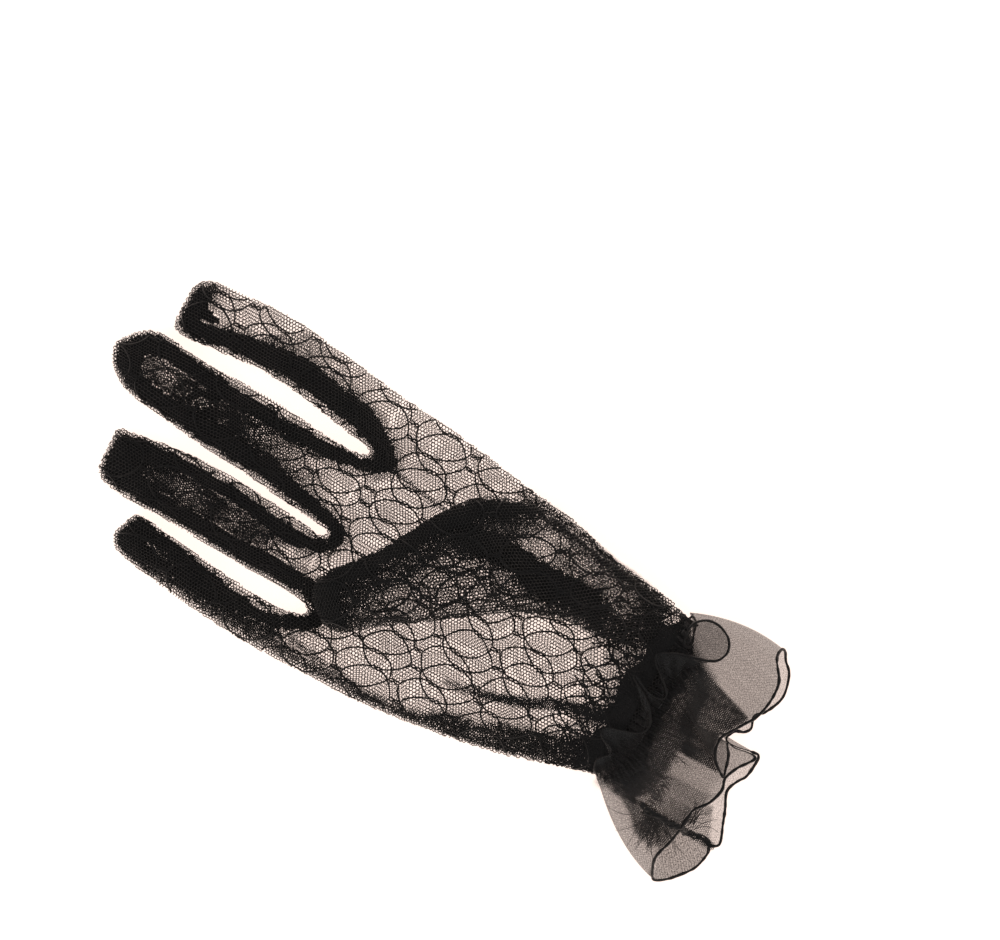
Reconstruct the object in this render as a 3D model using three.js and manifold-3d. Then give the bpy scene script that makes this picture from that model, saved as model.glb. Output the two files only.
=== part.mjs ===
// A short lace dress glove lying flat on its back, palm side up, with the thumb folded over the palm
// and a gathered organza ruffle at the wrist. Millimetres: +Y points to the fingertips, +X to the
// index finger's side, +Z up. The origin is on the table under the middle of the glove.
import * as THREE from "three";
import Module from "manifold-3d";
import { mergeVertices } from "three/addons/utils/BufferGeometryUtils.js";

const wasm = await Module();
wasm.setup();

// Driving sizes
const WALL = 1.0; // every sheet of lace and organza
const CLEARANCE = 0.3; // between neighbouring pieces
const PALM_TOP = 8.4; // height of the empty hand above the table
const FINGER_TOP = 8.0;
const HALVES_AT = 3.8; // height at which the upper and the lower sheet meet
const THUMB_HEIGHT = 7.4; // the thumb's tube, above the palm
const THUMB_HALVES_AT = 12.0;
const SEAM_LIFT = WALL + CLEARANCE; // the seam allowances lie inside, on the lower sheet
const ROLLED_EDGE = 1.1; // diameter of the ruffle's rolled hem
const WRIST_FRONT = -72.0; // where the lace ends at the elastic
const ELASTIC_LENGTH = 9.0;
const GATHER_AT = -78.0; // the line on which the organza is gathered
const WRIST_HALF_WIDTH = 28.4;
const WRIST_TOP = 11.0;

// The palm, a row per cross-section from the wrist to the knuckles: place along the glove, left and
// right edge, height
const palmRows = [
  { at: "wrist end", y: WRIST_FRONT, left: -28.4, right: 27.8, top: 8.0 },
  { at: "wrist", y: -66, left: -30.2, right: 29.3, top: 8.2 },
  { at: "below the thumb", y: -58, left: -32.6, right: 30.3, top: PALM_TOP },
  { at: "thumb's lower end", y: -46, left: -36.4, right: 31.9, top: PALM_TOP },
  { at: "ball of the thumb", y: -30, left: -39.8, right: 35.8, top: PALM_TOP },
  { at: "mid palm", y: -12, left: -42.6, right: 37.8, top: PALM_TOP },
  { at: "upper palm", y: 4, left: -44.2, right: 40.2, top: PALM_TOP },
  { at: "below the knuckles", y: 20, left: -44.7, right: 42.0, top: PALM_TOP },
];

// The line on which the palm ends between the fingers, from the little finger to the index
const webLine = [
  { at: "little edge", x: -46, y: 27.2 },
  { at: "little and ring", x: -28, y: 27.4 },
  { at: "ring and middle", x: -5.2, y: 33.6 },
  { at: "middle and index", x: 23, y: 34.4 },
  { at: "index edge", x: 44, y: 34.4 },
];

// The fingers, each with a row per cross-section: place along the glove and both edges. The upper
// sheet parts at the knuckle.
const fingers = {
  little: {
    tip: 89.6,
    knuckle: 28.6,
    rows: [
      { y: 12, left: -44.6, right: -31.5 },
      { y: 30, left: -44.9, right: -29.6 },
      { y: 40, left: -45.0, right: -30.8 },
      { y: 55, left: -44.1, right: -29.8 },
      { y: 68, left: -42.9, right: -28.5 },
      { y: 80, left: -41.2, right: -27.2 },
      { y: 86, left: -39.9, right: -26.8 },
    ],
  },
  ring: {
    tip: 104.2,
    knuckle: 34.8,
    rows: [
      { y: 12, left: -25.0, right: -8.0 },
      { y: 30, left: -25.9, right: -6.4 },
      { y: 42, left: -25.4, right: -4.9 },
      { y: 60, left: -25.2, right: -3.5 },
      { y: 76, left: -24.5, right: -3.2 },
      { y: 90, left: -24.8, right: -4.5 },
      { y: 100, left: -23.4, right: -6.2 },
    ],
  },
  middle: {
    tip: 117.4,
    knuckle: 35.6,
    rows: [
      { y: 14, left: -2.5, right: 20.5 },
      { y: 34, left: -3.4, right: 21.8 },
      { y: 46, left: -2.6, right: 21.4 },
      { y: 62, left: -1.0, right: 22.8 },
      { y: 78, left: 0.1, right: 23.1 },
      { y: 92, left: 1.6, right: 22.9 },
      { y: 104, left: 2.9, right: 24.3 },
      { y: 112, left: 5.6, right: 22.8 },
    ],
  },
  index: {
    tip: 105.2,
    knuckle: 35.6,
    rows: [
      { y: 12, left: 24.5, right: 41.0 },
      { y: 34, left: 24.4, right: 43.0 },
      { y: 46, left: 25.6, right: 44.5 },
      { y: 60, left: 28.0, right: 46.1 },
      { y: 75, left: 28.8, right: 47.6 },
      { y: 90, left: 27.4, right: 46.5 },
      { y: 101, left: 26.3, right: 45.6 },
    ],
  },
};

// The folded thumb, a row per cross-section from its base to its tip: a is the end of the section on
// the seam's side, b the end on the folded side
const thumbRows = [
  { at: "lower end of the base", ax: 26.5, ay: -66.5, bx: 13.5, by: -66.5 },
  { at: "base", ax: 29.6, ay: -54.0, bx: 9.5, by: -56.0 },
  { at: "over the hole", ax: 31.4, ay: -38.0, bx: 8.0, by: -42.0 },
  { at: "ball", ax: 34.2, ay: -22.0, bx: 4.0, by: -30.0 },
  { at: "bend", ax: 33.0, ay: -8.0, bx: -1.5, by: -20.5 },
  { at: "peak", ax: 25.8, ay: 1.6, bx: -8.0, by: -12.0 },
  { at: "first bone", ax: 14.0, ay: 9.6, bx: -14.0, by: -3.0 },
  { at: "joint", ax: 2.5, ay: 16.2, bx: -18.6, by: 4.6 },
  { at: "second bone", ax: -8.0, ay: 23.2, bx: -23.0, by: 11.0 },
  { at: "tip", ax: -16.6, ay: 28.6, bx: -27.4, by: 17.6 },
];
const THUMB_TIP_REACH = 2.6; // past the last row
const thumbHole = { x: 22.0, y: -36.0, halfWidth: 7.8, halfLength: 25.0 };

// The ruffle's hem, a row per fold in order: over the top from the index side to the little
// finger's side, then back along the table
const topHem = [
  { at: "right corner", x: 33.0, y: -99.8, z: 6.2 },
  { at: "right lobe", x: 27.5, y: -104.2, z: 10.5 },
  { at: "right lobe's low edge", x: 20.5, y: -106.6, z: 12.5 },
  { at: "right lobe's end", x: 12.6, y: -106.0, z: 12.0 },
  { at: "inner fold", x: 6.2, y: -102.0, z: 11.2 },
  { at: "middle crest", x: 0.2, y: -98.8, z: 13.4 },
  { at: "middle lobe", x: -5.4, y: -101.8, z: 13.8 },
  { at: "middle hollow", x: -11.6, y: -106.8, z: 11.2 },
  { at: "left-middle lobe", x: -18.4, y: -105.0, z: 12.6 },
  { at: "left crest", x: -25.0, y: -102.0, z: 14.2 },
  { at: "left fold", x: -32.0, y: -101.6, z: 11.4 },
  { at: "left lobe", x: -39.0, y: -99.8, z: 10.6 },
];
const underHem = [
  { at: "left corner", x: -46.8, y: -102.8, z: 5.0 },
  { at: "left lobe's edge", x: -43.4, y: -109.4, z: 1.6 },
  { at: "left lobe's low edge", x: -36.4, y: -113.6, z: 0.9 },
  { at: "lowest corner", x: -28.2, y: -116.0, z: 1.4 },
  { at: "left-middle edge", x: -20.4, y: -113.4, z: 2.6 },
  { at: "left-middle crest", x: -13.6, y: -110.4, z: 2.8 },
  { at: "middle edge", x: -6.0, y: -113.2, z: 1.4 },
  { at: "middle corner", x: 0.0, y: -111.8, z: 1.0 },
  { at: "notch", x: 2.8, y: -106.0, z: 2.4 },
  { at: "small loop", x: 8.2, y: -106.6, z: 1.4 },
  { at: "right hollow", x: 13.4, y: -107.6, z: 2.6 },
  { at: "right edge", x: 20.6, y: -110.8, z: 1.2 },
  { at: "right lobe's corner", x: 28.6, y: -107.2, z: 1.6 },
  { at: "right lobe's fold", x: 32.4, y: -103.4, z: 3.0 },
];

// The short heading's hem in the same order
const topHeading = [
  { at: "right curl", x: 31.6, y: -77.0, z: 7.6 },
  { at: "right shoulder", x: 28.0, y: -71.6, z: 12.4 },
  { at: "right fold", x: 20.5, y: -68.6, z: 13.8 },
  { at: "right hollow", x: 13.0, y: -70.4, z: 12.4 },
  { at: "middle fold", x: 4.5, y: -67.4, z: 14.8 },
  { at: "middle hollow", x: -4.5, y: -69.8, z: 12.6 },
  { at: "left fold", x: -13.0, y: -67.6, z: 14.6 },
  { at: "left hollow", x: -21.0, y: -69.4, z: 12.6 },
  { at: "left shoulder", x: -28.4, y: -70.6, z: 11.8 },
];
const underHeading = [
  { at: "left edge", x: -31.2, y: -73.4, z: 5.0 },
  { at: "under the left edge", x: -27.6, y: -74.0, z: 0.9 },
  { at: "under the left side", x: -14.0, y: -74.0, z: 0.5 },
  { at: "under the middle", x: 0.0, y: -74.0, z: 0.5 },
  { at: "under the right side", x: 14.0, y: -74.0, z: 0.5 },
  { at: "under the right edge", x: 27.6, y: -74.0, z: 0.9 },
];

// The folded seam allowances, a row per bend: the middle of the folded band and its width
const fingerSeamRows = [
  { at: "little tip, outer corner", x: -38.4, y: 83.0, width: 5 },
  { at: "little tip", x: -34.2, y: 85.6, width: 6 },
  { at: "little tip, inner corner", x: -30.8, y: 81.0, width: 5 },
  { at: "little, inner side", x: -33.4, y: 62.0, width: 5 },
  { at: "little, root", x: -35.4, y: 42.0, width: 5 },
  { at: "first slit, little side", x: -33.0, y: 29.0, width: 5 },
  { at: "first slit", x: -27.6, y: 22.6, width: 5 },
  { at: "first slit, ring side", x: -22.4, y: 29.0, width: 5 },
  { at: "ring, outer side", x: -21.4, y: 50.0, width: 6 },
  { at: "ring, below the tip", x: -20.8, y: 84.0, width: 6 },
  { at: "ring tip, outer corner", x: -19.4, y: 97.0, width: 6 },
  { at: "ring tip", x: -14.8, y: 99.6, width: 6 },
  { at: "ring tip, inner corner", x: -10.2, y: 96.0, width: 6 },
  { at: "ring, inner side", x: -7.6, y: 76.0, width: 5 },
  { at: "ring, root", x: -9.6, y: 46.0, width: 5 },
  { at: "second slit, ring side", x: -9.2, y: 35.0, width: 5 },
  { at: "second slit", x: -4.8, y: 30.0, width: 5 },
  { at: "second slit, middle side", x: 0.0, y: 36.0, width: 5 },
  { at: "middle, outer side", x: 2.6, y: 56.0, width: 6 },
  { at: "middle, above the joint", x: 4.8, y: 88.0, width: 6 },
  { at: "middle tip, outer corner", x: 8.2, y: 107.0, width: 6 },
  { at: "middle tip", x: 13.8, y: 112.4, width: 6 },
  { at: "middle tip, inner corner", x: 19.4, y: 107.0, width: 6 },
  { at: "middle, inner side", x: 19.0, y: 82.0, width: 6 },
  { at: "middle, root", x: 18.0, y: 50.0, width: 5 },
  { at: "third slit, middle side", x: 19.0, y: 36.0, width: 5 },
  { at: "third slit", x: 23.6, y: 30.0, width: 5 },
  { at: "third slit, index side", x: 28.2, y: 36.5, width: 5 },
  { at: "index, root", x: 31.4, y: 52.0, width: 6 },
  { at: "index, inner side", x: 33.4, y: 74.0, width: 6 },
  { at: "index, below the tip", x: 31.0, y: 92.0, width: 6 },
  { at: "index tip, inner corner", x: 32.2, y: 99.6, width: 6 },
  { at: "index tip, at the fold", x: 40.6, y: 101.0, width: 5 },
];
const sideSeamRows = [
  { at: "wrist", x: -26.0, y: -71.0, width: 3 },
  { at: "above the wrist", x: -30.2, y: -56.0, width: 4 },
  { at: "heel of the hand", x: -34.6, y: -38.0, width: 5 },
  { at: "mid palm", x: -38.4, y: -16.0, width: 3.6 },
  { at: "upper palm", x: -40.6, y: 10.0, width: 3 },
  { at: "little, root", x: -41.0, y: 40.0, width: 3 },
  { at: "little, middle", x: -40.2, y: 60.0, width: 3 },
  { at: "little, below the tip", x: -38.0, y: 79.0, width: 3 },
];
const thumbSeamRows = [
  { at: "folded corner of the tip", x: -22.8, y: 17.5, width: 5 },
  { at: "tip", x: -22.0, y: 22.6, width: 6 },
  { at: "tip, seam corner", x: -16.6, y: 23.6, width: 6 },
  { at: "second bone", x: -7.4, y: 18.2, width: 7 },
  { at: "joint", x: 3.4, y: 10.6, width: 7 },
  { at: "first bone", x: 14.0, y: 4.0, width: 8 },
  { at: "peak", x: 24.6, y: -5.0, width: 7 },
];
const THUMB_HOLE_BAND = 4.6; // width of the seam round the thumb hole

// Where the lace ends under the ruffle, a row per share of the way round the wrist, from the index
// side over the top
const laceEndRows = [
  { at: "index side", share: 0, y: -86 },
  { at: "top right", share: 0.12, y: -89 },
  { at: "top middle", share: 0.25, y: -94 },
  { at: "top left", share: 0.4, y: -92 },
  { at: "little side", share: 0.5, y: -96 },
  { at: "under left", share: 0.6, y: -97 },
  { at: "under middle", share: 0.75, y: -93 },
  { at: "under right", share: 0.9, y: -88 },
  { at: "index side again", share: 1, y: -86 },
];

// Materials
const cloth = (color, roughness, opacity = 1) =>
  new THREE.MeshStandardMaterial({ color, roughness, metalness: 0, opacity, transparent: opacity < 1 });
const laceCloth = cloth(0x2a2626, 0.8);
const seamCloth = cloth(0x141111, 0.9);
const elasticCloth = cloth(0x1b1818, 0.85);
const organza = cloth(0x4a4542, 0.45, 0.6);
const thread = cloth(0x100e0e, 0.6);

// A closed body from loops of equal length, capped at both ends
function loft(loops) {
  const count = loops[0].length;
  const position = loops.flat(2);
  const index = [];
  const at = (i, j) => i * count + (j % count);
  for (let i = 0; i + 1 < loops.length; i += 1) {
    for (let j = 0; j < count; j += 1) {
      index.push(at(i, j), at(i, j + 1), at(i + 1, j + 1));
      index.push(at(i, j), at(i + 1, j + 1), at(i + 1, j));
    }
  }
  [loops[0], loops[loops.length - 1]].forEach((loop, end) => {
    const centre = position.length / 3;
    const mean = [0, 1, 2].map((k) => loop.reduce((sum, p) => sum + p[k], 0) / count);
    position.push(...mean);
    const row = end === 0 ? 0 : loops.length - 1;
    for (let j = 0; j < count; j += 1) {
      if (end === 0) index.push(centre, at(row, j + 1), at(row, j));
      else index.push(centre, at(row, j), at(row, j + 1));
    }
  });
  return bodyOf(position, index);
}

// A closed ring of cloth between two nets of points that run round and along it
function ringWall(outer, inner) {
  const count = outer[0].length;
  const rows = outer.length;
  const position = [...outer.flat(2), ...inner.flat(2)];
  const index = [];
  const at = (side, i, j) => (side * rows + i) * count + (j % count);
  for (let j = 0; j < count; j += 1) {
    for (let i = 0; i + 1 < rows; i += 1) {
      index.push(at(0, i, j), at(0, i, j + 1), at(0, i + 1, j + 1));
      index.push(at(0, i, j), at(0, i + 1, j + 1), at(0, i + 1, j));
      index.push(at(1, i, j), at(1, i + 1, j + 1), at(1, i, j + 1));
      index.push(at(1, i, j), at(1, i + 1, j), at(1, i + 1, j + 1));
    }
    index.push(at(0, 0, j), at(1, 0, j + 1), at(0, 0, j + 1));
    index.push(at(0, 0, j), at(1, 0, j), at(1, 0, j + 1));
    const last = rows - 1;
    index.push(at(0, last, j), at(0, last, j + 1), at(1, last, j + 1));
    index.push(at(0, last, j), at(1, last, j + 1), at(1, last, j));
  }
  return bodyOf(position, index);
}

// Turns a body the right way out and makes it ready to cut and join
function bodyOf(position, index) {
  let volume = 0;
  const p = (k) => new THREE.Vector3().fromArray(position, 3 * k);
  for (let k = 0; k < index.length; k += 3) {
    volume += p(index[k]).dot(p(index[k + 1]).cross(p(index[k + 2])));
  }
  if (volume < 0) index.reverse();
  const mesh = new wasm.Mesh({
    numProp: 3,
    vertProperties: new Float32Array(position),
    triVerts: new Uint32Array(index),
  });
  return new wasm.Manifold(mesh);
}

function bodyOfGeometry(geometry) {
  const bare = geometry.clone();
  bare.deleteAttribute("normal");
  bare.deleteAttribute("uv");
  const merged = mergeVertices(bare, 1e-4);
  return bodyOf(Array.from(merged.attributes.position.array), Array.from(merged.index.array));
}

function named(name, body, material) {
  const solid = body.getMesh();
  const geometry = new THREE.BufferGeometry();
  geometry.setAttribute("position", new THREE.BufferAttribute(solid.vertProperties, 3));
  geometry.setIndex(new THREE.BufferAttribute(solid.triVerts, 1));
  const mesh = new THREE.Mesh(geometry, material);
  mesh.name = name;
  return mesh;
}

const lerp = (a, b, t) => a + (b - a) * t;

// The cross-section of an empty bag lying flat: flat below, rolled at its sides, level on top.
// It gives pairs of distance along the section and height.
function bagSection(width, floor, top, grow) {
  const low = floor - grow;
  const high = top + grow;
  const from = -grow;
  const to = width + grow;
  const tall = high - low;
  const span = to - from;
  const lowRoll = Math.min(0.14 * span, 3);
  const highRoll = Math.min(0.4 * span, 11);
  const waist = low + 0.42 * tall;
  const side = [];
  for (const turn of [0, 45, 90]) {
    const a = THREE.MathUtils.degToRad(turn);
    side.push([lowRoll * (1 - Math.sin(a)), waist - (waist - low) * Math.cos(a)]);
  }
  for (const turn of [30, 60, 90]) {
    const a = THREE.MathUtils.degToRad(turn);
    side.push([highRoll * (1 - Math.cos(a)), waist + (high - waist) * Math.sin(a)]);
  }
  const section = [[(from + to) / 2, low]];
  side.forEach(([inset, z]) => section.push([to - inset, z]));
  section.push([(from + to) / 2, high]);
  side.reverse().forEach(([inset, z]) => section.push([from + inset, z]));
  return section;
}

// The loops of a flattened tube: a section across each row, from the row's a to its b
function tubeLoops(rows, grow) {
  return rows.map(({ a, b, floor, top }) => {
    const across = b.clone().sub(a);
    const width = across.length();
    across.normalize();
    return bagSection(width, floor, top, grow).map(([s, z]) => {
      const p = a.clone().addScaledVector(across, s);
      return [p.x, p.y, z];
    });
  });
}

// A fingertip: the last rows draw in and close
function fingerBody({ rows, tip }, grow) {
  const last = rows[rows.length - 1];
  const shift = (y) => (y > 40 ? grow : 0);
  const middle = (last.left + last.right) / 2;
  const half = (last.right - last.left) / 2;
  const row = (y, left, right, dip) => ({
    a: new THREE.Vector2(left, y + shift(y)),
    b: new THREE.Vector2(right, y + shift(y)),
    floor: dip * 0.4,
    top: FINGER_TOP - dip,
  });
  const all = rows.map(({ y, left, right }) => row(y, left, right, 0));
  all.push(row(tip - 1.6, middle - half * 0.86, middle + half * 0.86, 0.7));
  all.push(row(tip, middle - half * 0.56, middle + half * 0.56, 2.4));
  return loft(tubeLoops(all, grow));
}

function webAt(x) {
  const next = Math.max(1, webLine.findIndex((p) => p.x >= x));
  const [p, q] = [webLine[next - 1], webLine[next]];
  return lerp(p.y, q.y, (x - p.x) / (q.x - p.x));
}

// The palm ends in a low nose that follows the line between the fingers
function palmBody(grow) {
  const rows = palmRows.map(({ y, left, right, top }) => ({
    a: new THREE.Vector2(left, y),
    b: new THREE.Vector2(right, y),
    floor: 0,
    top,
  }));
  const loops = tubeLoops(rows, grow);
  const knuckles = loops[loops.length - 1];
  const from = palmRows[palmRows.length - 1].y;
  for (const [reach, rise] of [[0.6, 0.95], [0.88, 0.72], [1.0, 0.34]]) {
    loops.push(
      knuckles.map(([x, , z]) => [
        x,
        lerp(from, webAt(x) + grow, reach),
        lerp(HALVES_AT, z, rise),
      ]),
    );
  }
  if (grow < 0) {
    loops[0].forEach((p) => (p[1] -= WALL));
  }
  return loft(loops);
}

function handBody(grow) {
  return Object.values(fingers).reduce((hand, finger) => hand.add(fingerBody(finger, grow)), palmBody(grow));
}

// A block used only to part two halves
function blockBody(x, y, z, [width, length, height]) {
  const block = new THREE.BoxGeometry(width, length, height);
  block.translate(x, y, z);
  return bodyOfGeometry(block);
}

const FAR = 400;
const above = (z) => blockBody(0, 0, z + FAR / 2, [FAR, FAR, FAR]);
const below = (z) => blockBody(0, 0, z - FAR / 2, [FAR, FAR, FAR]);

function holeBody(grow, low, high) {
  const shape = new THREE.Shape();
  const { x, y, halfWidth, halfLength } = thumbHole;
  shape.absellipse(x, y, halfWidth + grow, halfLength + grow, 0, 2 * Math.PI);
  const prism = new THREE.ExtrudeGeometry(shape, {
    depth: high - low,
    bevelEnabled: false,
    curveSegments: 8,
  });
  prism.translate(0, 0, low);
  return bodyOfGeometry(prism);
}

// The thumb's tube; its underside is cut to the palm below it
function thumbBody(grow, floor) {
  const top = PALM_TOP + CLEARANCE + THUMB_HEIGHT;
  const row = ({ ax, ay, bx, by }, height) => ({
    a: new THREE.Vector2(ax, ay),
    b: new THREE.Vector2(bx, by),
    floor,
    top: height,
  });
  const rows = thumbRows.map((r, i) => row(r, i === 0 ? PALM_TOP + 2.4 : top));
  const [before, last] = rows.slice(-2);
  const ahead = last.a.clone().add(last.b).sub(before.a).sub(before.b).normalize();
  const tip = (reach, draw, height) => {
    const middle = last.a.clone().add(last.b).multiplyScalar(0.5);
    return {
      a: last.a.clone().lerp(middle, draw).addScaledVector(ahead, reach),
      b: last.b.clone().lerp(middle, draw).addScaledVector(ahead, reach),
      floor,
      top: height,
    };
  };
  rows.push(tip(THUMB_TIP_REACH * 0.7 + grow, 0.12, top - 0.8));
  rows.push(tip(THUMB_TIP_REACH + grow, 0.4, top - 2.6));
  return loft(tubeLoops(rows, grow));
}

// A strip of folded cloth that follows a line of points, with a width of its own at each
function stripBody(points, thickness, lift) {
  const curve = new THREE.CatmullRomCurve3(points.map(({ x, y }) => new THREE.Vector3(x, y, 0)));
  const steps = points.length * 2;
  const sides = [1, -1].map((side) => {
    const line = [];
    for (let k = 0; k <= steps; k += 1) {
      const t = k / steps;
      const place = curve.getPoint(t);
      const ahead = curve.getTangent(t);
      const i = Math.min(points.length - 2, Math.floor(t * (points.length - 1)));
      const half = lerp(points[i].width, points[i + 1].width, t * (points.length - 1) - i) / 2;
      line.push(new THREE.Vector2(place.x - side * half * ahead.y, place.y + side * half * ahead.x));
    }
    return line;
  });
  const shape = new THREE.Shape([...sides[0], ...sides[1].reverse()]);
  const strip = new THREE.ExtrudeGeometry(shape, { depth: thickness, bevelEnabled: false });
  strip.translate(0, 0, lift);
  return bodyOfGeometry(strip);
}

// A point of the flattened ring round the wrist: share 0 is the index side, a quarter the top
function wristRing(share, halfWidth, low, high) {
  const radius = (high - low) / 2;
  const flat = 2 * (halfWidth - radius);
  const bend = Math.PI * radius;
  const middle = (low + high) / 2;
  const length = 2 * (flat + bend);
  const walk = (((share % 1) + 1) % 1) * length;
  const onBend = (side, angle) => [
    side * (halfWidth - radius) + radius * Math.cos(angle),
    middle + radius * Math.sin(angle),
  ];
  if (walk < bend / 2) return onBend(1, walk / radius);
  if (walk < bend / 2 + flat) return [flat / 2 - (walk - bend / 2), high];
  if (walk < 1.5 * bend + flat) return onBend(-1, Math.PI / 2 + (walk - bend / 2 - flat) / radius);
  if (walk < 1.5 * bend + 2 * flat) return [walk - 1.5 * bend - 1.5 * flat, low];
  return onBend(1, (walk - 2 * bend - 2 * flat) / radius);
}

// Nets of points for a ring of gathered cloth: rows of place along the glove, half width, low and
// high, with small gathers round it
function gatheredRing(rows, depth) {
  return rows.map(({ y, halfWidth, low, high }) =>
    Array.from({ length: ELASTIC_POINTS }, (_, j) => {
      const share = j / ELASTIC_POINTS;
      const ripple = depth * (0.5 + 0.5 * Math.cos(2 * Math.PI * ELASTIC_GATHERS * share));
      const [x, z] = wristRing(share, halfWidth - ripple, low + ripple * 0.6, high - ripple);
      return [x, y, z];
    }),
  );
}

// The organza strip. Each half of the ring has its own rows, spread evenly over that half.
function hemCurve(top, under) {
  const curve = new THREE.CatmullRomCurve3(
    [...top, ...under].map(({ x, y, z }) => new THREE.Vector3(x, y, z)),
    true,
  );
  const topShare = top.length / (top.length + under.length);
  return (share) => {
    const t = share < 0.5 ? share * 2 * topShare : topShare + (share - 0.5) * 2 * (1 - topShare);
    return curve.getPoint(t % 1);
  };
}

const ORGANZA_POINTS = 68;
const HEADING_EDGE_POINTS = 44;
const LACE_END_POINTS = 32;
const ELASTIC_POINTS = 54;
const ELASTIC_GATHERS = 18;
const organzaRows = [-1, -0.55, 0, 0.15, 0.35, 0.6, 0.84, 1];
const ruffleHem = hemCurve(topHem, underHem);
const headingHem = hemCurve(topHeading, underHeading);

// The middle of the organza's thickness: along runs from -1, the heading's hem, by 0, the gather
// line, to 1, the ruffle's hem
function organzaPoint(share, along) {
  const [gx, gz] = wristRing(share, WRIST_HALF_WIDTH + 0.4, WALL / 2, WRIST_TOP - WALL / 2);
  const gather = new THREE.Vector3(gx, GATHER_AT, gz);
  const hem = along < 0 ? headingHem(share) : ruffleHem(share);
  const reach = Math.abs(along);
  const outward = new THREE.Vector3(gx / WRIST_HALF_WIDTH, 0, 0).multiplyScalar(along < 0 ? 2 : 9);
  const p = gather.clone().lerp(hem, reach);
  p.addScaledVector(outward, Math.abs(gx / WRIST_HALF_WIDTH) ** 3 * reach * (1 - reach) * 1.6);
  const rise = gz > WALL ? (along < 0 ? 2.0 : 5.0) : 0;
  p.z += rise * reach * (1 - reach);
  p.z = Math.max(p.z, WALL / 2);
  return p;
}

function organzaNets() {
  const middle = organzaRows.map((along) =>
    Array.from({ length: ORGANZA_POINTS }, (_, j) => organzaPoint(j / ORGANZA_POINTS, along)),
  );
  const offset = (side) =>
    middle.map((row, i) =>
      row.map((p, j) => {
        const round = row[(j + 1) % ORGANZA_POINTS].clone().sub(row[(j + ORGANZA_POINTS - 1) % ORGANZA_POINTS]);
        const along = middle[Math.min(i + 1, organzaRows.length - 1)][j].clone().sub(middle[Math.max(i - 1, 0)][j]);
        const normal = round.cross(along).normalize();
        const q = p.clone().addScaledVector(normal, (side * WALL) / 2);
        return [q.x, q.y, Math.max(q.z, 0)];
      }),
    );
  return [offset(1), offset(-1)];
}

// A rolled hem: a closed round tube just past the edge of the cloth
function rolledEdge(along, inside, count, radius) {
  const sides = 4;
  const reach = ROLLED_EDGE / 2 + CLEARANCE;
  const places = Array.from({ length: count }, (_, j) => {
    const edge = organzaPoint(j / count, along);
    const beside = organzaPoint((j + 0.5) / count, along).sub(organzaPoint((j + count - 0.5) / count, along));
    const outward = edge.clone().sub(organzaPoint(j / count, inside));
    beside.normalize();
    outward.addScaledVector(beside, -outward.dot(beside)).normalize();
    edge.addScaledVector(outward, reach);
    edge.z = Math.max(edge.z, ROLLED_EDGE / 2);
    return edge;
  });
  const up = new THREE.Vector3(0, 0, 1);
  const loops = places.map((place, j) => {
    const ahead = places[(j + 1) % count].clone().sub(places[(j + count - 1) % count]).normalize();
    const across = ahead.clone().cross(up).normalize();
    const over = across.clone().cross(ahead);
    return Array.from({ length: sides }, (_, k) => {
      const turn = (2 * Math.PI * k) / sides;
      const p = place.clone().addScaledVector(across, radius * Math.cos(turn));
      return p.addScaledVector(over, radius * Math.sin(turn)).toArray();
    });
  });
  const index = [];
  const at = (i, k) => (i % count) * sides + (k % sides);
  for (let i = 0; i < count; i += 1) {
    for (let k = 0; k < sides; k += 1) {
      index.push(at(i, k), at(i, k + 1), at(i + 1, k + 1));
      index.push(at(i, k), at(i + 1, k + 1), at(i + 1, k));
    }
  }
  return bodyOf(loops.flat(2), index);
}

// The lace's own end: a flat ring whose lower edge wanders
function laceEnd(share) {
  const next = Math.max(1, laceEndRows.findIndex((row) => row.share >= share));
  const [p, q] = [laceEndRows[next - 1], laceEndRows[next]];
  const t = (share - p.share) / (q.share - p.share);
  return lerp(p.y, q.y, t * t * (3 - 2 * t));
}

function laceEndNet(grow) {
  const start = WRIST_FRONT - ELASTIC_LENGTH - 2 * CLEARANCE;
  return [0, 0.4, 0.75, 1].map((t) =>
    Array.from({ length: LACE_END_POINTS }, (_, j) => {
      const share = j / LACE_END_POINTS;
      const flare = 1.6 * t;
      const low = WALL + CLEARANCE + 1.3 * t + grow;
      const high = WRIST_TOP - WALL - CLEARANCE - 0.4 + 0.4 * t - grow;
      const [x, z] = wristRing(share, WRIST_HALF_WIDTH - 1.2 + flare - grow, low, high);
      return [x, lerp(start, laceEnd(share), t), z];
    }),
  );
}

const glove = new THREE.Group();

// The hand: a lower sheet of lace and an upper one, with open fingers between them. The upper sheet
// is the palm and a piece for each finger.
const handShell = handBody(0).subtract(handBody(-WALL));
const upperSheet = handShell.intersect(above(HALVES_AT + CLEARANCE / 2));
const aboveKnuckle = (finger, gap) =>
  fingerBody(finger, CLEARANCE / 2).intersect(
    blockBody(0, finger.knuckle + gap + FAR / 2, 0, [FAR, FAR, FAR]),
  );
const palmSheet = Object.values(fingers).reduce(
  (sheet, finger) => sheet.subtract(aboveKnuckle(finger, -CLEARANCE / 2)),
  upperSheet.subtract(holeBody(0, HALVES_AT, PALM_TOP + 5)),
);
glove.add(
  named("back_side_lace", handShell.intersect(below(HALVES_AT - CLEARANCE / 2)), laceCloth),
  named("palm_side_lace", palmSheet, laceCloth),
  ...Object.entries(fingers).map(([name, finger]) => {
    const sheet = upperSheet.intersect(aboveKnuckle(finger, CLEARANCE / 2));
    return named(`${name}_finger_palm_side_lace`, sheet, laceCloth);
  }),
);

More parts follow.
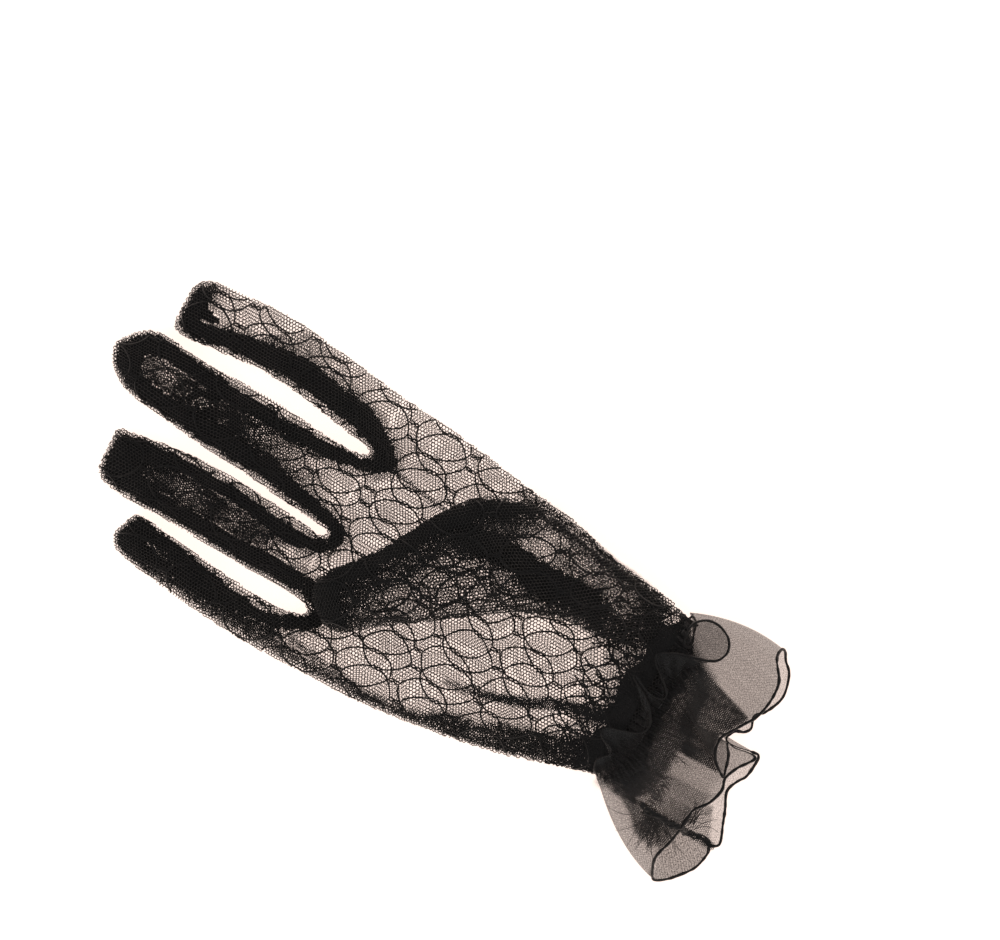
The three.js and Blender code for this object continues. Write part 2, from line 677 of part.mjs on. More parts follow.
// The thumb: a tube that starts round its hole and lies on the palm
const thumbOuter = thumbBody(0, HALVES_AT).subtract(handBody(CLEARANCE));
const thumbInner = thumbBody(-WALL, HALVES_AT).subtract(handBody(CLEARANCE + WALL));
const thumbShell = thumbOuter.subtract(thumbInner).subtract(holeBody(0, HALVES_AT, THUMB_HALVES_AT));
glove.add(
  named("thumb_under_lace", thumbShell.intersect(below(THUMB_HALVES_AT - CLEARANCE / 2)), laceCloth),
  named("thumb_top_lace", thumbShell.intersect(above(THUMB_HALVES_AT + CLEARANCE / 2)), laceCloth),
);

// The wrist: elastic, the lace's own end and the organza round them
const elasticRows = (grow) =>
  [0, 0.5, 1].map((t) => ({
    y: WRIST_FRONT - CLEARANCE - t * ELASTIC_LENGTH,
    halfWidth: WRIST_HALF_WIDTH - 0.9 - grow,
    low: WALL + CLEARANCE + grow,
    high: WRIST_TOP - WALL - CLEARANCE - grow,
  }));
glove.add(
  named(
    "wrist_elastic",
    ringWall(gatheredRing(elasticRows(0), 0.5), gatheredRing(elasticRows(1.2), 0.3)),
    elasticCloth,
  ),
);

// Each rolled hem runs just past the organza, which is trimmed where a tight bend brings them close
const ruffleEdge = (radius) => rolledEdge(1, 0.84, ORGANZA_POINTS, radius);
const headingEdge = (radius) => rolledEdge(-1, -0.55, HEADING_EDGE_POINTS, radius);
const hemRadius = ROLLED_EDGE / 2;
const trimRadius = hemRadius + CLEARANCE / 3;
const strip = ringWall(...organzaNets());
glove.add(
  named("lace_hem", ringWall(laceEndNet(0), laceEndNet(WALL)), laceCloth),
  named("organza_ruffle", strip.subtract(ruffleEdge(trimRadius)).subtract(headingEdge(trimRadius)), organza),
  named("ruffle_rolled_edge", ruffleEdge(hemRadius), thread),
  named("heading_rolled_edge", headingEdge(hemRadius), thread),
);

// The seam allowances inside the hand and the thumb
const handSpace = handBody(-WALL - CLEARANCE);
const thumbSpace = thumbBody(-WALL - CLEARANCE, HALVES_AT).subtract(handBody(2 * CLEARANCE + WALL));
const thumbSeamLift = PALM_TOP + 2 * CLEARANCE + WALL;
const holeSeamTop = PALM_TOP - WALL - CLEARANCE;
glove.add(
  named("finger_seam", stripBody(fingerSeamRows, WALL, SEAM_LIFT).intersect(handSpace), seamCloth),
  named("side_seam", stripBody(sideSeamRows, WALL, SEAM_LIFT).intersect(handSpace), seamCloth),
  named("thumb_seam", stripBody(thumbSeamRows, WALL, thumbSeamLift).intersect(thumbSpace), seamCloth),
  named(
    "thumb_hole_seam",
    holeBody(THUMB_HOLE_BAND, holeSeamTop - WALL, holeSeamTop)
      .subtract(holeBody(CLEARANCE, 0, PALM_TOP))
      .intersect(handSpace),
    seamCloth,
  ),
);

export default glove;
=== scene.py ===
import bpy
import numpy as np
from mathutils import Matrix, Vector


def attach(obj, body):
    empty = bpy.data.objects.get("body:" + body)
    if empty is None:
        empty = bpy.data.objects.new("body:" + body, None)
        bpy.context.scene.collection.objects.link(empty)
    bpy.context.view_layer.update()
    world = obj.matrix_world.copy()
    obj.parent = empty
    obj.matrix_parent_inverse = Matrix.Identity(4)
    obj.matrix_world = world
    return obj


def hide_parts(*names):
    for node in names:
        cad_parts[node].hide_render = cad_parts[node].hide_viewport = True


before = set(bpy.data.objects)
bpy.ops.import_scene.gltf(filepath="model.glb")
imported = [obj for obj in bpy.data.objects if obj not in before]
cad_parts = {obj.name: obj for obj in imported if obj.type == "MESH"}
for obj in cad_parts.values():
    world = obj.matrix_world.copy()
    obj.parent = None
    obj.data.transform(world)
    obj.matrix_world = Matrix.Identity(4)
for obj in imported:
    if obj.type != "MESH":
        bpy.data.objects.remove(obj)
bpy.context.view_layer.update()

# A short black lace glove lying flat, palm side up, with every net built thread by thread.
# Lengths are millimetres in the frame's axes, and addPiece turns them into metres; materials, cut sizes and
# the studio are in metres.
mm = 0.001
tau = 2 * np.pi
tiny = 1e-12
triangles = {}


def report(stage):
    print(stage, "made,", sum(triangles.values()), "triangles so far")


# Curves, waves and maps as whole arrays
def spline(points, spacing, closed=False):
    # Catmull-Rom curve through the points, laid out at equal steps of its arc length
    p = np.asarray(points, float)
    if closed:
        p = np.vstack([p[-1:], p, p[:2]])
    else:
        p = np.vstack([2 * p[:1] - p[1:2], p, 2 * p[-1:] - p[-2:-1]])
    t = np.linspace(0, 1, 12, endpoint=False)[None, :, None]
    a, b, c, d = p[:-3, None], p[1:-2, None], p[2:-1, None], p[3:, None]
    q = 0.5 * (2 * b + (c - a) * t + (2 * a - 5 * b + 4 * c - d) * t**2 + (3 * b - 3 * c + d - a) * t**3)
    q = q.reshape(-1, p.shape[1])
    q = np.vstack([q, p[-2:-1]])
    length = np.concatenate([[0], np.cumsum(np.linalg.norm(np.diff(q, axis=0), axis=1))])
    count = max(2, int(round(length[-1] / spacing)) + 1)
    at = np.linspace(0, length[-1], count)
    q = np.stack([np.interp(at, length, q[:, k]) for k in range(q.shape[1])], axis=1)
    return q[:-1] if closed else q


def waves(x, y, size, seed):
    # seven plane waves in seeded directions, 0.7 to 1.7 times size long, added up to about -1 to 1
    rng = np.random.default_rng(seed)
    total, count = 0, 7
    for _ in range(count):
        turn, phase, length = rng.uniform(0, tau), rng.uniform(0, tau), size * rng.uniform(0.7, 1.7)
        total = total + np.sin(tau * (x * np.cos(turn) + y * np.sin(turn)) / length + phase)
    return total / np.sqrt(count) / 1.25


def smooth(x, low, high):
    # 0 up to low and 1 from high on, with 3 t^2 - 2 t^3 between them
    t = np.clip((x - low) / (high - low), 0, 1)
    return t * t * (3 - 2 * t)


def mixed(first, second, share):
    # a share of the way from first to second
    return first + (second - first) * share


def unit(v):
    # vectors over their own length
    return v / np.maximum(np.linalg.norm(v, axis=-1, keepdims=True), 1e-9)


# A map holds one value for each half millimetre of the ground round the glove
gridStep = 0.5
gridX = np.arange(-56, 56.01, gridStep)
gridY = np.arange(-124, 124.01, gridStep)
mapX, mapY = np.meshgrid(gridX, gridY)


def sample(field, x, y):
    # bilinear value of a map at any place
    u = np.clip((x - gridX[0]) / gridStep, 0, gridX.size - 1.001)
    v = np.clip((y - gridY[0]) / gridStep, 0, gridY.size - 1.001)
    i, j = u.astype(int), v.astype(int)
    s, t = u - i, v - j
    near = field[j, i] * (1 - s) + field[j, i + 1] * s
    far = field[j + 1, i] * (1 - s) + field[j + 1, i + 1] * s
    return near * (1 - t) + far * t


def fromSegment(ax, ay, bx, by):
    # for each place of the map, how far along the segment its nearest point lies, and the way from there
    dx, dy = bx - ax, by - ay
    t = np.clip(((mapX - ax) * dx + (mapY - ay) * dy) / (dx * dx + dy * dy + tiny), 0, 1)
    return t, mapX - ax - t * dx, mapY - ay - t * dy


def depthInside(outline):
    # distance to the closed outline, positive inside it: there a line to one side crosses it an odd number
    # of times
    best = np.full(mapX.shape, 1e9)
    inside = np.zeros(mapX.shape, bool)
    for (ax, ay), (bx, by) in zip(outline, np.roll(outline, -1, axis=0)):
        _, awayX, awayY = fromSegment(ax, ay, bx, by)
        best = np.minimum(best, awayX**2 + awayY**2)
        if ay != by:
            crossing = (bx - ax) * (mapY - ay) / (by - ay) + ax
            inside ^= ((ay > mapY) != (by > mapY)) & (mapX < crossing)
    return np.where(inside, 1, -1) * np.sqrt(best)


def pathDensity(rows, soft=0.8, ragged=0.5, seed=1):
    # rows of x, y, width and density along a path: the map is the density on the path, which fades over twice
    # soft at its edges, and two sizes of waves make the edges ragged
    line = spline(rows, 1.5)
    result = np.zeros(mapX.shape)
    fray = ragged * waves(mapX, mapY, 2.4, seed) + 0.6 * ragged * waves(mapX, mapY, 7, seed + 1)
    for (ax, ay, aw, ad), (bx, by, bw, bd) in zip(line[:-1], line[1:]):
        t, awayX, awayY = fromSegment(ax, ay, bx, by)
        depth = mixed(aw, bw, t) / 2 - np.hypot(awayX, awayY) + fray
        result = np.maximum(result, mixed(ad, bd, t) * smooth(depth, -soft, soft))
    return result


# Meshes
def joined(parts):
    # pairs of points and faces as one set of points, and its faces by number of corners
    points, quads, sixes, start = [], [], [], 0
    for p, f in parts:
        points.append(p)
        (sixes if f.shape[1] == 6 else quads).append(f + start)
        start += len(p)
    return np.concatenate(points), [np.concatenate(s) for s in (quads, sixes) if s]


def addPiece(name, parts, material, replaced=(), uv=None, smoothShade=False):
    # one mesh of all parts, with its finish, body and the solids that it stands for; uv is the cloth's
    # own place for each point, or the ground's x and y
    points, faces = joined(parts)
    used = np.zeros(len(points), bool)
    for f in faces:
        used[f.ravel()] = True
    order = np.cumsum(used) - 1
    points = points[used]
    faces = [order[f] for f in faces if len(f)]
    corners = np.concatenate([f.ravel() for f in faces]).astype(np.int32)
    sizes = np.concatenate([np.full(len(f), f.shape[1]) for f in faces])
    mesh = bpy.data.meshes.new(name)
    mesh.vertices.add(len(points))
    mesh.vertices.foreach_set("co", (points * mm).astype(np.float32).ravel())
    mesh.loops.add(len(corners))
    mesh.loops.foreach_set("vertex_index", corners)
    mesh.polygons.add(len(sizes))
    mesh.polygons.foreach_set("loop_start", np.concatenate([[0], np.cumsum(sizes)[:-1]]).astype(np.int32))
    mesh.polygons.foreach_set("use_smooth", np.full(len(sizes), smoothShade))
    mesh.update(calc_edges=True)
    pair = points[:, :2] if uv is None else uv[used]
    low, high = pair.min(axis=0), pair.max(axis=0)
    layer = mesh.uv_layers.new(name="OFBake")
    layer.data.foreach_set("uv", (((pair - low) / (high - low).max())[corners]).astype(np.float32).ravel())
    cloth = mesh.attributes.new("cloth", "FLOAT_VECTOR", "POINT")
    cloth.data.foreach_set("vector", np.column_stack([pair, np.zeros(len(pair))]).astype(np.float32).ravel())
    mesh.materials.append(material)
    piece = bpy.data.objects.new(name, mesh)
    bpy.context.scene.collection.objects.link(piece)
    triangles[name] = int((sizes - 2).sum())
    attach(piece, "root")
    if replaced:
        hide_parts(*replaced)
    return piece


def addRing(name, points, pitch, down, material, replaced):
    # a grid whose last column joins its first: in the cloth, columns lie pitch apart and rows at down
    rows, columns = points.shape[:2]
    at = np.arange(rows * columns).reshape(rows, columns)
    beside = np.roll(at, -1, axis=1)
    faces = np.stack([at[:-1], beside[:-1], beside[1:], at[1:]], axis=-1).reshape(-1, 4)
    cloth = np.stack(np.broadcast_arrays(np.arange(columns)[None, :] * pitch, down[:, None]), axis=-1)
    part = points.reshape(-1, 3), faces
    return addPiece(name, [part], material, replaced, cloth.reshape(-1, 2), True)


def stretches(keep):
    # the stretches of each row whose two ends are kept
    return keep[:, 1:] & keep[:, :-1]


def tubes(centre, radius, sides, keep=None, closed=False):
    # round threads along the rows of centre (rows, places, 3): each place gets a ring of points evenly round
    # the thread's direction, and quads join the rings along every stretch that is kept
    if closed:
        ahead = np.roll(centre, -1, axis=1) - np.roll(centre, 1, axis=1)
    else:
        ahead = np.gradient(centre, axis=1)
    ahead = unit(ahead)
    side = unit(np.cross(ahead, np.array([0.0, 0.0, 1.0]) + 1e-4))
    over = np.cross(side, ahead)
    angle = (tau * (np.arange(sides) / sides + 0.25))[None, None, :, None]
    radius = np.broadcast_to(radius, centre.shape[:2])[..., None, None]
    ring = centre[:, :, None] + radius * (np.cos(angle) * side[:, :, None] + np.sin(angle) * over[:, :, None])
    rows, places = centre.shape[:2]
    at = np.arange(rows * places * sides).reshape(rows, places, sides)
    there = np.roll(at, -1, axis=1) if closed else at[:, 1:]
    here = at if closed else at[:, :-1]
    quads = np.stack([here, np.roll(here, -1, axis=2), np.roll(there, -1, axis=2), there], axis=-1)
    if keep is not None:
        quads = quads[stretches(keep)]
    return ring.reshape(-1, 3), quads.reshape(-1, 4)


def ribbons(start, end, startWidth, endWidth):
    # flat threads, one quad each
    side = unit(np.cross(unit(end - start), np.array([0.0, 0.0, 1.0]))) / 2
    first, last = side * np.reshape(startWidth, (-1, 1)), side * np.reshape(endWidth, (-1, 1))
    points = np.stack([start + first, end + last, end - last, start - first], axis=1)
    return points.reshape(-1, 3), np.arange(len(start) * 4).reshape(-1, 4)


# Shader graphs
class Wire:
    # one output socket of a shader graph: arithmetic on it adds Math nodes
    def __init__(self, graph, socket):
        self.graph, self.socket = graph, socket

    def math(self, operation, *values):
        return self.graph.node("ShaderNodeMath", {"operation": operation}, dict(enumerate(values)))

    def __add__(self, other):
        return self.math("ADD", self, other)

    def __sub__(self, other):
        return self.math("SUBTRACT", self, other)

    def __rsub__(self, other):
        return self.math("SUBTRACT", other, self)

    def __mul__(self, other):
        return self.math("MULTIPLY", self, other)

    def sin(self):
        return self.math("SINE", self)

    __radd__, __rmul__ = __add__, __mul__


class Graph:
    # the node tree of one material
    def __init__(self, name):
        self.material = bpy.data.materials.new(name)
        self.material.use_nodes = True
        self.tree = self.material.node_tree

    def fill(self, node, inputs):
        for key, value in inputs.items():
            if isinstance(value, Wire):
                self.tree.links.new(value.socket, node.inputs[key])
            else:
                node.inputs[key].default_value = value

    def node(self, kind, settings, inputs, output=0):
        made = self.tree.nodes.new(kind)
        for key, value in settings.items():
            setattr(made, key, value)
        self.fill(made, inputs)
        return Wire(self, made.outputs[output])

    def place(self):
        return self.node("ShaderNodeTexCoord", {}, {}, "Object")

    def attribute(self, name, output="Vector"):
        return self.node("ShaderNodeAttribute", {"attribute_name": name}, {}, output)

    def axis(self, vector, which):
        return self.node("ShaderNodeSeparateXYZ", {}, {0: vector}, which)

    def noise(self, vector, scale, detail, rough):
        inputs = {"Vector": vector, "Scale": scale, "Detail": detail, "Roughness": rough}
        return self.node("ShaderNodeTexNoise", {}, inputs)

    def cells(self, vector, scale):
        return self.node("ShaderNodeTexVoronoi", {}, {"Vector": vector, "Scale": scale})

    def spread(self, value, low, high):
        # 0 at low to 1 at high, eased at both ends
        step = {"interpolation_type": "SMOOTHSTEP"}
        return self.node("ShaderNodeMapRange", step, {0: value, 1: low, 2: high})

    def blend(self, factor, a, b):
        # a Mix node's colours go into its sockets 6 and 7, and the mixed colour comes out of 2
        return self.node("ShaderNodeMix", {"data_type": "RGBA"}, {0: factor, 6: a, 7: b}, 2)

    def bump(self, height, distance, strength):
        return self.node("ShaderNodeBump", {}, {"Strength": strength, "Distance": distance, "Height": height})

    def feed(self, inputs):
        self.fill(self.tree.nodes["Principled BSDF"], inputs)
        return self.material


def rgb(r, g, b):
    return (r, g, b, 1.0)


# Spun thread of the net, and the smoother thread that outlines its ovals
netLook = {
    "dark": rgb(0.010, 0.008, 0.0075), "light": rgb(0.040, 0.032, 0.028), "roughness": 0.62, "twist": 9000.0,
    "mottle": 90.0, "fibre": 2600.0, "relief": 0.00006, "sheen": 0.15,
}
gimpLook = {
    **netLook, "dark": rgb(0.006, 0.005, 0.005), "light": rgb(0.024, 0.019, 0.017), "roughness": 0.55,
    "twist": 5200.0,
}


def threadMaterial(name, look):
    # mottled brown-black, with the turns of the yarn as a fine slanted ripple
    g = Graph(name)
    place = g.place()
    x, y, z = (g.axis(place, k) for k in range(3))
    broad = g.noise(place, look["mottle"], 3.0, 0.6)
    fine = g.noise(place, look["fibre"], 2.0, 0.6)
    twist = ((x + 0.7 * y + 1.3 * z) * look["twist"]).sin()
    return g.feed({
        "Base Color": g.blend(g.spread(0.55 * broad + 0.45 * fine, 0.32, 0.68), look["dark"], look["light"]),
        "Roughness": look["roughness"] + 0.2 * (fine - 0.5) + 0.03 * twist,
        "Normal": g.bump(0.6 * fine + 0.4 * (0.5 + 0.5 * twist), look["relief"], 0.6),
        "Sheen Weight": look["sheen"], "Sheen Roughness": 0.5,
    })


netMaterial = threadMaterial("net_thread", netLook)
gimpMaterial = threadMaterial("gimp_thread", gimpLook)
report("thread materials")


# Outlines of the lying glove, seen from above, and how deep each place lies inside them
palmLeft = [
    (-27.6, -81), (-28.0, -76), (-28.6, -71), (-30.2, -66), (-32.6, -58), (-36.4, -46), (-39.8, -30),
    (-42.6, -12), (-44.2, 4), (-44.7, 20),
]
palmRight = [
    (42.0, 20), (40.2, 4), (37.8, -12), (35.8, -30), (31.9, -46), (30.3, -58), (29.3, -66), (28.2, -70),
    (26.6, -73.6), (24.4, -76.6), (21.6, -79), (18.4, -81),
]
# each finger's run ends in the slit beside it
fingerOutline = {
    "little": [
        (-44.9, 30), (-45.0, 40), (-44.1, 55), (-42.9, 68), (-41.2, 80), (-40.2, 85), (-38.9, 87.8),
        (-36.8, 89.4), (-34.2, 89.5), (-31, 88.5), (-28.2, 87.2), (-26.8, 85.6), (-27.2, 80), (-28.5, 68),
        (-29.8, 55), (-30.8, 40), (-29.9, 31), (-27.9, 27.4),
    ],
    "ring": [
        (-25.8, 31), (-25.4, 42), (-25.2, 60), (-24.5, 76), (-24.8, 90), (-23.9, 99), (-22.2, 102.4),
        (-18.6, 103.9), (-12.6, 104.2), (-7.4, 104.2), (-6.4, 100), (-4.6, 90), (-3.2, 76), (-3.5, 60),
        (-4.9, 42), (-5.7, 36), (-4.6, 33.6),
    ],
    "middle": [
        (-3.3, 36), (-2.6, 46), (-1.0, 62), (0.1, 78), (1.6, 92), (2.9, 104), (5.0, 110.4), (8.2, 114.6),
        (11.6, 116.8), (15, 117.3), (18.4, 115.4), (22.0, 112.0), (23.6, 109.2), (24.3, 104), (22.9, 92),
        (23.1, 78), (22.8, 62), (21.4, 46), (21.7, 37), (23.1, 34.4),
    ],
    "index": [
        (24.6, 37), (25.6, 46), (28.0, 60), (28.8, 75), (27.4, 90), (26.4, 99), (26.7, 103),
        (28.4, 104.8), (34, 105.2), (40.6, 105.2), (43.8, 103.4), (45.6, 99.6), (46.5, 90), (47.6, 75),
        (46.1, 60), (44.5, 46), (43.0, 34),
    ],
}
thumbOutline = [
    (26.5, -66.5), (29.6, -54), (31.4, -38), (34.2, -22), (33.6, -13), (31.0, -6), (27, 0.2), (21, 5.2),
    (14, 9.6), (5, 14.4), (-3.2, 19.6), (-9.6, 24.6), (-13.5, 27.4), (-17.6, 29.6), (-22.6, 27.8),
    (-26.6, 23.6), (-28.6, 18.8), (-27.6, 14.0), (-23.8, 9.8), (-19.2, 3.8), (-14.2, -3.2), (-8, -12),
    (-1.5, -20.5), (4, -30), (8, -42), (9.5, -56), (13.5, -66.5),
]
thumbHole = {"x": 22.0, "y": -36.0, "halfWidth": 7.8, "halfLength": 25.0}
outlineStep = 1.2
handDepth = depthInside(spline(palmLeft + sum(fingerOutline.values(), []) + palmRight, outlineStep))
thumbDepth = depthInside(spline(thumbOutline, outlineStep, closed=True))
holeDepth = thumbHole["halfWidth"] * (1 - np.hypot(
    (mapX - thumbHole["x"]) / thumbHole["halfWidth"], (mapY - thumbHole["y"]) / thumbHole["halfLength"]
))
report("outline maps")


# Heights of the sheets: a roll is how far inside the outline a sheet reaches its level
hand = {
    "palmTop": 7.9, "fingerTop": 7.5, "wristTop": 10.7, "waist": 3.8, "low": 0.45,
    "palmRoll": 11.0, "fingerRoll": 7.0, "lowRoll": 3.0, "knuckles": (22, 40), "wristRise": (-63, -75),
    "ripple": 0.22, "lowRipple": 0.15, "waves": (12, 5), "lowWaves": (14, 6),
}
thumb = {
    "top": 15.5, "waist": 12.2, "low": 9.3, "roll": 5.0, "lowRoll": 3.0, "rootTop": 10.0, "rootWaist": 9.2,
    "root": (-67, -50), "lowRise": 0.1, "sag": 0.3,
    "ripple": 0.22, "lowRipple": 0.12, "waves": (11, 8), "lowWaves": (13, 9),
}


def arch(field, x, y, roll):
    # quarter ellipse over the depth inside an outline: 0 at the outline, 1 from the roll inwards
    s = np.clip(sample(field, x, y) / roll, 0, 1)
    return np.sqrt(np.maximum(0, 1 - (1 - s) ** 2))


def handTopAt(x, y):
    # an arch from the waist up to the palm's or the fingers' level, which rises to the gathers, and a ripple
    finger = smooth(y, *hand["knuckles"])
    top = mixed(hand["palmTop"], hand["fingerTop"], finger)
    rise = arch(handDepth, x, y, mixed(hand["palmRoll"], hand["fingerRoll"], finger))
    over = (hand["wristTop"] - top) * smooth(y, *hand["wristRise"])
    ripple = hand["ripple"] * rise * waves(x, y, *hand["waves"])
    return hand["waist"] + (top + over - hand["waist"]) * rise + ripple


def handLowAt(x, y):
    # the same arch from the waist down to the ground, where the ripples only lift it
    rise = arch(handDepth, x, y, hand["lowRoll"])
    ripple = hand["lowRipple"] * rise * (1 + waves(x, y, *hand["lowWaves"]))
    return hand["waist"] - (hand["waist"] - hand["low"]) * rise + ripple


def thumbTopAt(x, y):
    # an arch as on the hand, whose waist and top both rise from the thumb's root
    rise, ramp = arch(thumbDepth, x, y, thumb["roll"]), smooth(y, *thumb["root"])
    waist = mixed(thumb["rootWaist"], thumb["waist"], ramp)
    top = mixed(thumb["rootTop"], thumb["top"], ramp)
    return waist + (top - waist) * rise + thumb["ripple"] * rise * waves(x, y, *thumb["waves"])


def thumbLowAt(x, y):
    # from the same waist down to the palm's upper sheet
    rise, ramp = arch(thumbDepth, x, y, thumb["lowRoll"]), smooth(y, *thumb["root"])
    waist = mixed(thumb["rootWaist"], thumb["waist"], ramp)
    drop = waist - thumb["low"] - thumb["lowRise"] * ramp + thumb["sag"]
    return waist - drop * rise + thumb["lowRipple"] * rise * waves(x, y, *thumb["lowWaves"])


def raised(heightAt, by):
    # a height function moved up
    return lambda x, y: heightAt(x, y) + by


def between(lowAt, highAt, share, by=0.0):
    # a height function a share of the way from a lower one to a higher one, moved up
    return lambda x, y: lowAt(x, y) * (1 - share) + highAt(x, y) * share + by


# Dark zones, where the lace lies folded or doubled: x, y, width and density along each path
fingerBand = [
    (-38.9, 78, 4.5, 1), (-37.2, 84, 8, 1), (-33.2, 85, 9.5, 1), (-30.4, 81.5, 6.5, 1),
    (-31.5, 74, 5.5, 1), (-33, 66, 6, 1), (-34.5, 58, 6, 1), (-35.5, 50, 5.5, 1), (-36, 42, 5, 1),
    (-35.5, 36, 4.6, 1), (-33.5, 30.5, 5, 1), (-30.5, 25.5, 5, 1), (-27.8, 23.2, 5.5, 1),
    (-25, 24.5, 5.5, 1), (-22.4, 28, 6, 1), (-21.0, 34, 6.4, 1), (-21, 42, 6.5, 1), (-21.3, 52, 6.4, 1),
    (-21.2, 62, 6, 1), (-21, 74, 6, 1), (-20.8, 84, 6.6, 1), (-19.3, 92, 8.6, 1), (-17.5, 97.5, 11.5, 1),
    (-13, 98.5, 12, 1), (-10, 94, 8, 1), (-8.4, 86, 5.5, 1), (-7.8, 76, 5, 1), (-8.0, 66, 5, 1),
    (-8.6, 58, 5, 1), (-9.8, 48, 5.5, 1), (-10, 42, 5.5, 1), (-9.2, 36, 5.5, 1), (-7, 32, 5.5, 1),
    (-4.2, 30.4, 5.6, 1), (-1.5, 32.5, 5.5, 1), (0.3, 38, 5, 1), (1.8, 46, 5.4, 1), (3.4, 56, 6.4, 1),
    (4.2, 66, 7, 1), (4.6, 76, 7, 1), (5, 86, 7.4, 1), (5.5, 96, 7, 1), (6.8, 104, 7, 1), (9, 110, 8, 1),
    (13.5, 112.5, 9, 1), (18.5, 110, 8, 1), (20.6, 104, 6.6, 1), (19.8, 96, 6.5, 1), (18.6, 88, 6, 1),
    (17.8, 78, 5.6, 1), (17.6, 68, 5.2, 1), (17.4, 58, 5, 1), (17.6, 48, 5, 1), (18.2, 40, 5, 1),
    (19.8, 34, 5.5, 1), (22.8, 29.2, 7.4, 1), (26.2, 31.2, 7, 1), (29, 36, 7.4, 1), (31.4, 42, 8.4, 1),
    (32.6, 50, 8.4, 1), (34.0, 58, 8.8, 1), (34.6, 66, 8.6, 1), (34.0, 74, 8, 1), (33.2, 82, 7.4, 1),
    (31.6, 90, 6.5, 1), (30.2, 97, 7, 1), (32, 101.5, 7, 1), (36, 102.0, 7, 1), (40.5, 101, 6, 1),
    (42.5, 99.5, 4, 0.9),
]
fingerLinings = [
    [
        (-38.6, 34, 5.5, 0.9), (-38.4, 50, 6, 0.98), (-37.6, 62, 6.5, 0.98), (-36.6, 74, 7, 0.97),
        (-35.4, 82, 7, 0.99),
    ],
    [(41.6, 52, 8, 0.08), (41.4, 70, 9, 0.5), (41, 92, 9, 0.7)],
    [
        (-15.6, 45, 4, 0.6), (-15.0, 52, 7, 0.92), (-14.4, 70, 10, 0.955), (-14.4, 82, 10.5, 0.957),
        (-14.4, 92, 10, 0.967),
    ],
    [
        (-12.6, 44, 3, 0.9), (-12.4, 60, 3, 0.97), (-12.2, 76, 3, 0.97), (-12.4, 90, 3, 0.98),
    ],
    [(9.6, 58, 4, 0.6), (11, 66, 10, 0.88), (11.5, 78, 11, 0.958), (12, 92, 11, 0.965)],
    [(6.0, 50, 3, 0.85), (7.0, 60, 4.4, 0.95), (7.8, 84, 4.4, 0.98), (7.8, 94, 4, 0.97)],
    [
        (15.6, 46, 2.4, 0.85), (14.9, 58, 3.8, 0.95), (14.8, 80, 3.6, 0.97), (14.8, 92, 4, 0.97),
    ],
    [(13, 97, 9, 0.88), (13.5, 104, 8, 0.86)],
    [(36.6, 84, 4, 0.8), (35.4, 92, 5, 0.93), (35.6, 99, 6, 0.98), (39, 96, 4, 0.7)],
    [(9, 47, 12, 0.36), (9, 53, 10, 0.66), (9.6, 60, 9, 0.8)],
]
sideBand = [
    (-25.4, -65, 12, 0.95), (-27.0, -60, 11, 0.955), (-28.6, -55, 9.8, 0.965), (-30.4, -50, 9.2, 0.975),
    (-31.6, -45, 9.4, 0.975), (-33.6, -40, 9.6, 0.93), (-35.2, -35, 8, 0.93), (-36.2, -30, 8.4, 0.965),
    (-37.4, -24, 6.6, 0.965), (-39.2, -18, 4.4, 0.965), (-40.2, -12, 3.6, 0.98), (-41.4, 0, 3.4, 0.99),
    (-41.6, 12, 3.4, 0.9), (-41.4, 26, 4, 0.9), (-41.2, 40, 4.4, 0.92), (-40.8, 52, 4.4, 0.9),
    (-40.2, 64, 4, 0.9), (-39.2, 76, 4, 0.95),
]
thumbBand = [
    (-26.0, 16, 4, 0.97), (-24.8, 20.5, 8, 1), (-20.5, 24.6, 9, 1), (-14.2, 23.6, 6.6, 1),
    (-6.6, 18.8, 6, 1), (1.8, 13.4, 5.8, 1), (9.8, 8.8, 5.8, 1), (16.8, 4.4, 6.2, 1),
    (22.8, -0.8, 6.4, 1), (27.6, -7, 6, 1), (31, -14, 4.6, 0.98), (33.0, -20, 3.4, 0.97),
    (32.6, -26, 3.6, 0.98), (31.8, -32, 4, 0.985), (30.8, -38, 4, 0.985), (29.4, -43, 4, 0.985),
    (28.4, -50, 4, 0.98), (27.6, -56, 4, 0.97), (25.6, -61, 4.6, 0.96), (22, -65, 4.6, 0.95),
    (17, -66, 4, 0.92),
]
thumbLinings = [
    [
        (-24, 14, 6, 0.85), (-18, 12, 10, 0.32), (-8, 6, 13, 0.1), (0, -2, 15, 0.06), (7, -9, 14, 0.06),
        (9, -18, 10, 0.3), (11, -27, 8, 0.7),
    ],
    [(13, -3, 9, 0.86), (20, -8, 13, 0.96), (24.6, -12, 11, 0.95)],
    [
        (-22, 19, 10, 0.94), (-15, 18.4, 11, 0.9), (-7, 13.6, 11, 0.87), (1, 8.6, 11, 0.87),
        (9, 4.4, 11, 0.9), (16, 0, 12, 0.95), (22, -5, 11, 0.97),
    ],
    [
        (-26.5, 14, 1.8, 0.9), (-19.5, 8, 1.8, 0.9), (-14.4, -1.6, 1.7, 0.88), (-7.4, -11.5, 1.7, 0.9),
        (-1.6, -19.4, 1.8, 0.92), (3.4, -27.6, 2.2, 0.94), (8, -35, 2.6, 0.95), (11, -43, 2.8, 0.95),
    ],
    [
        (27, -14, 10, 0.9), (27, -19, 9, 0.72), (26.6, -24, 8.5, 0.3), (26.4, -29, 8.5, 0.36),
        (26, -35, 9, 0.82), (25.6, -40, 9, 0.86), (25, -46, 9, 0.86), (24, -54, 10, 0.82),
        (22, -62, 11, 0.86),
    ],
]
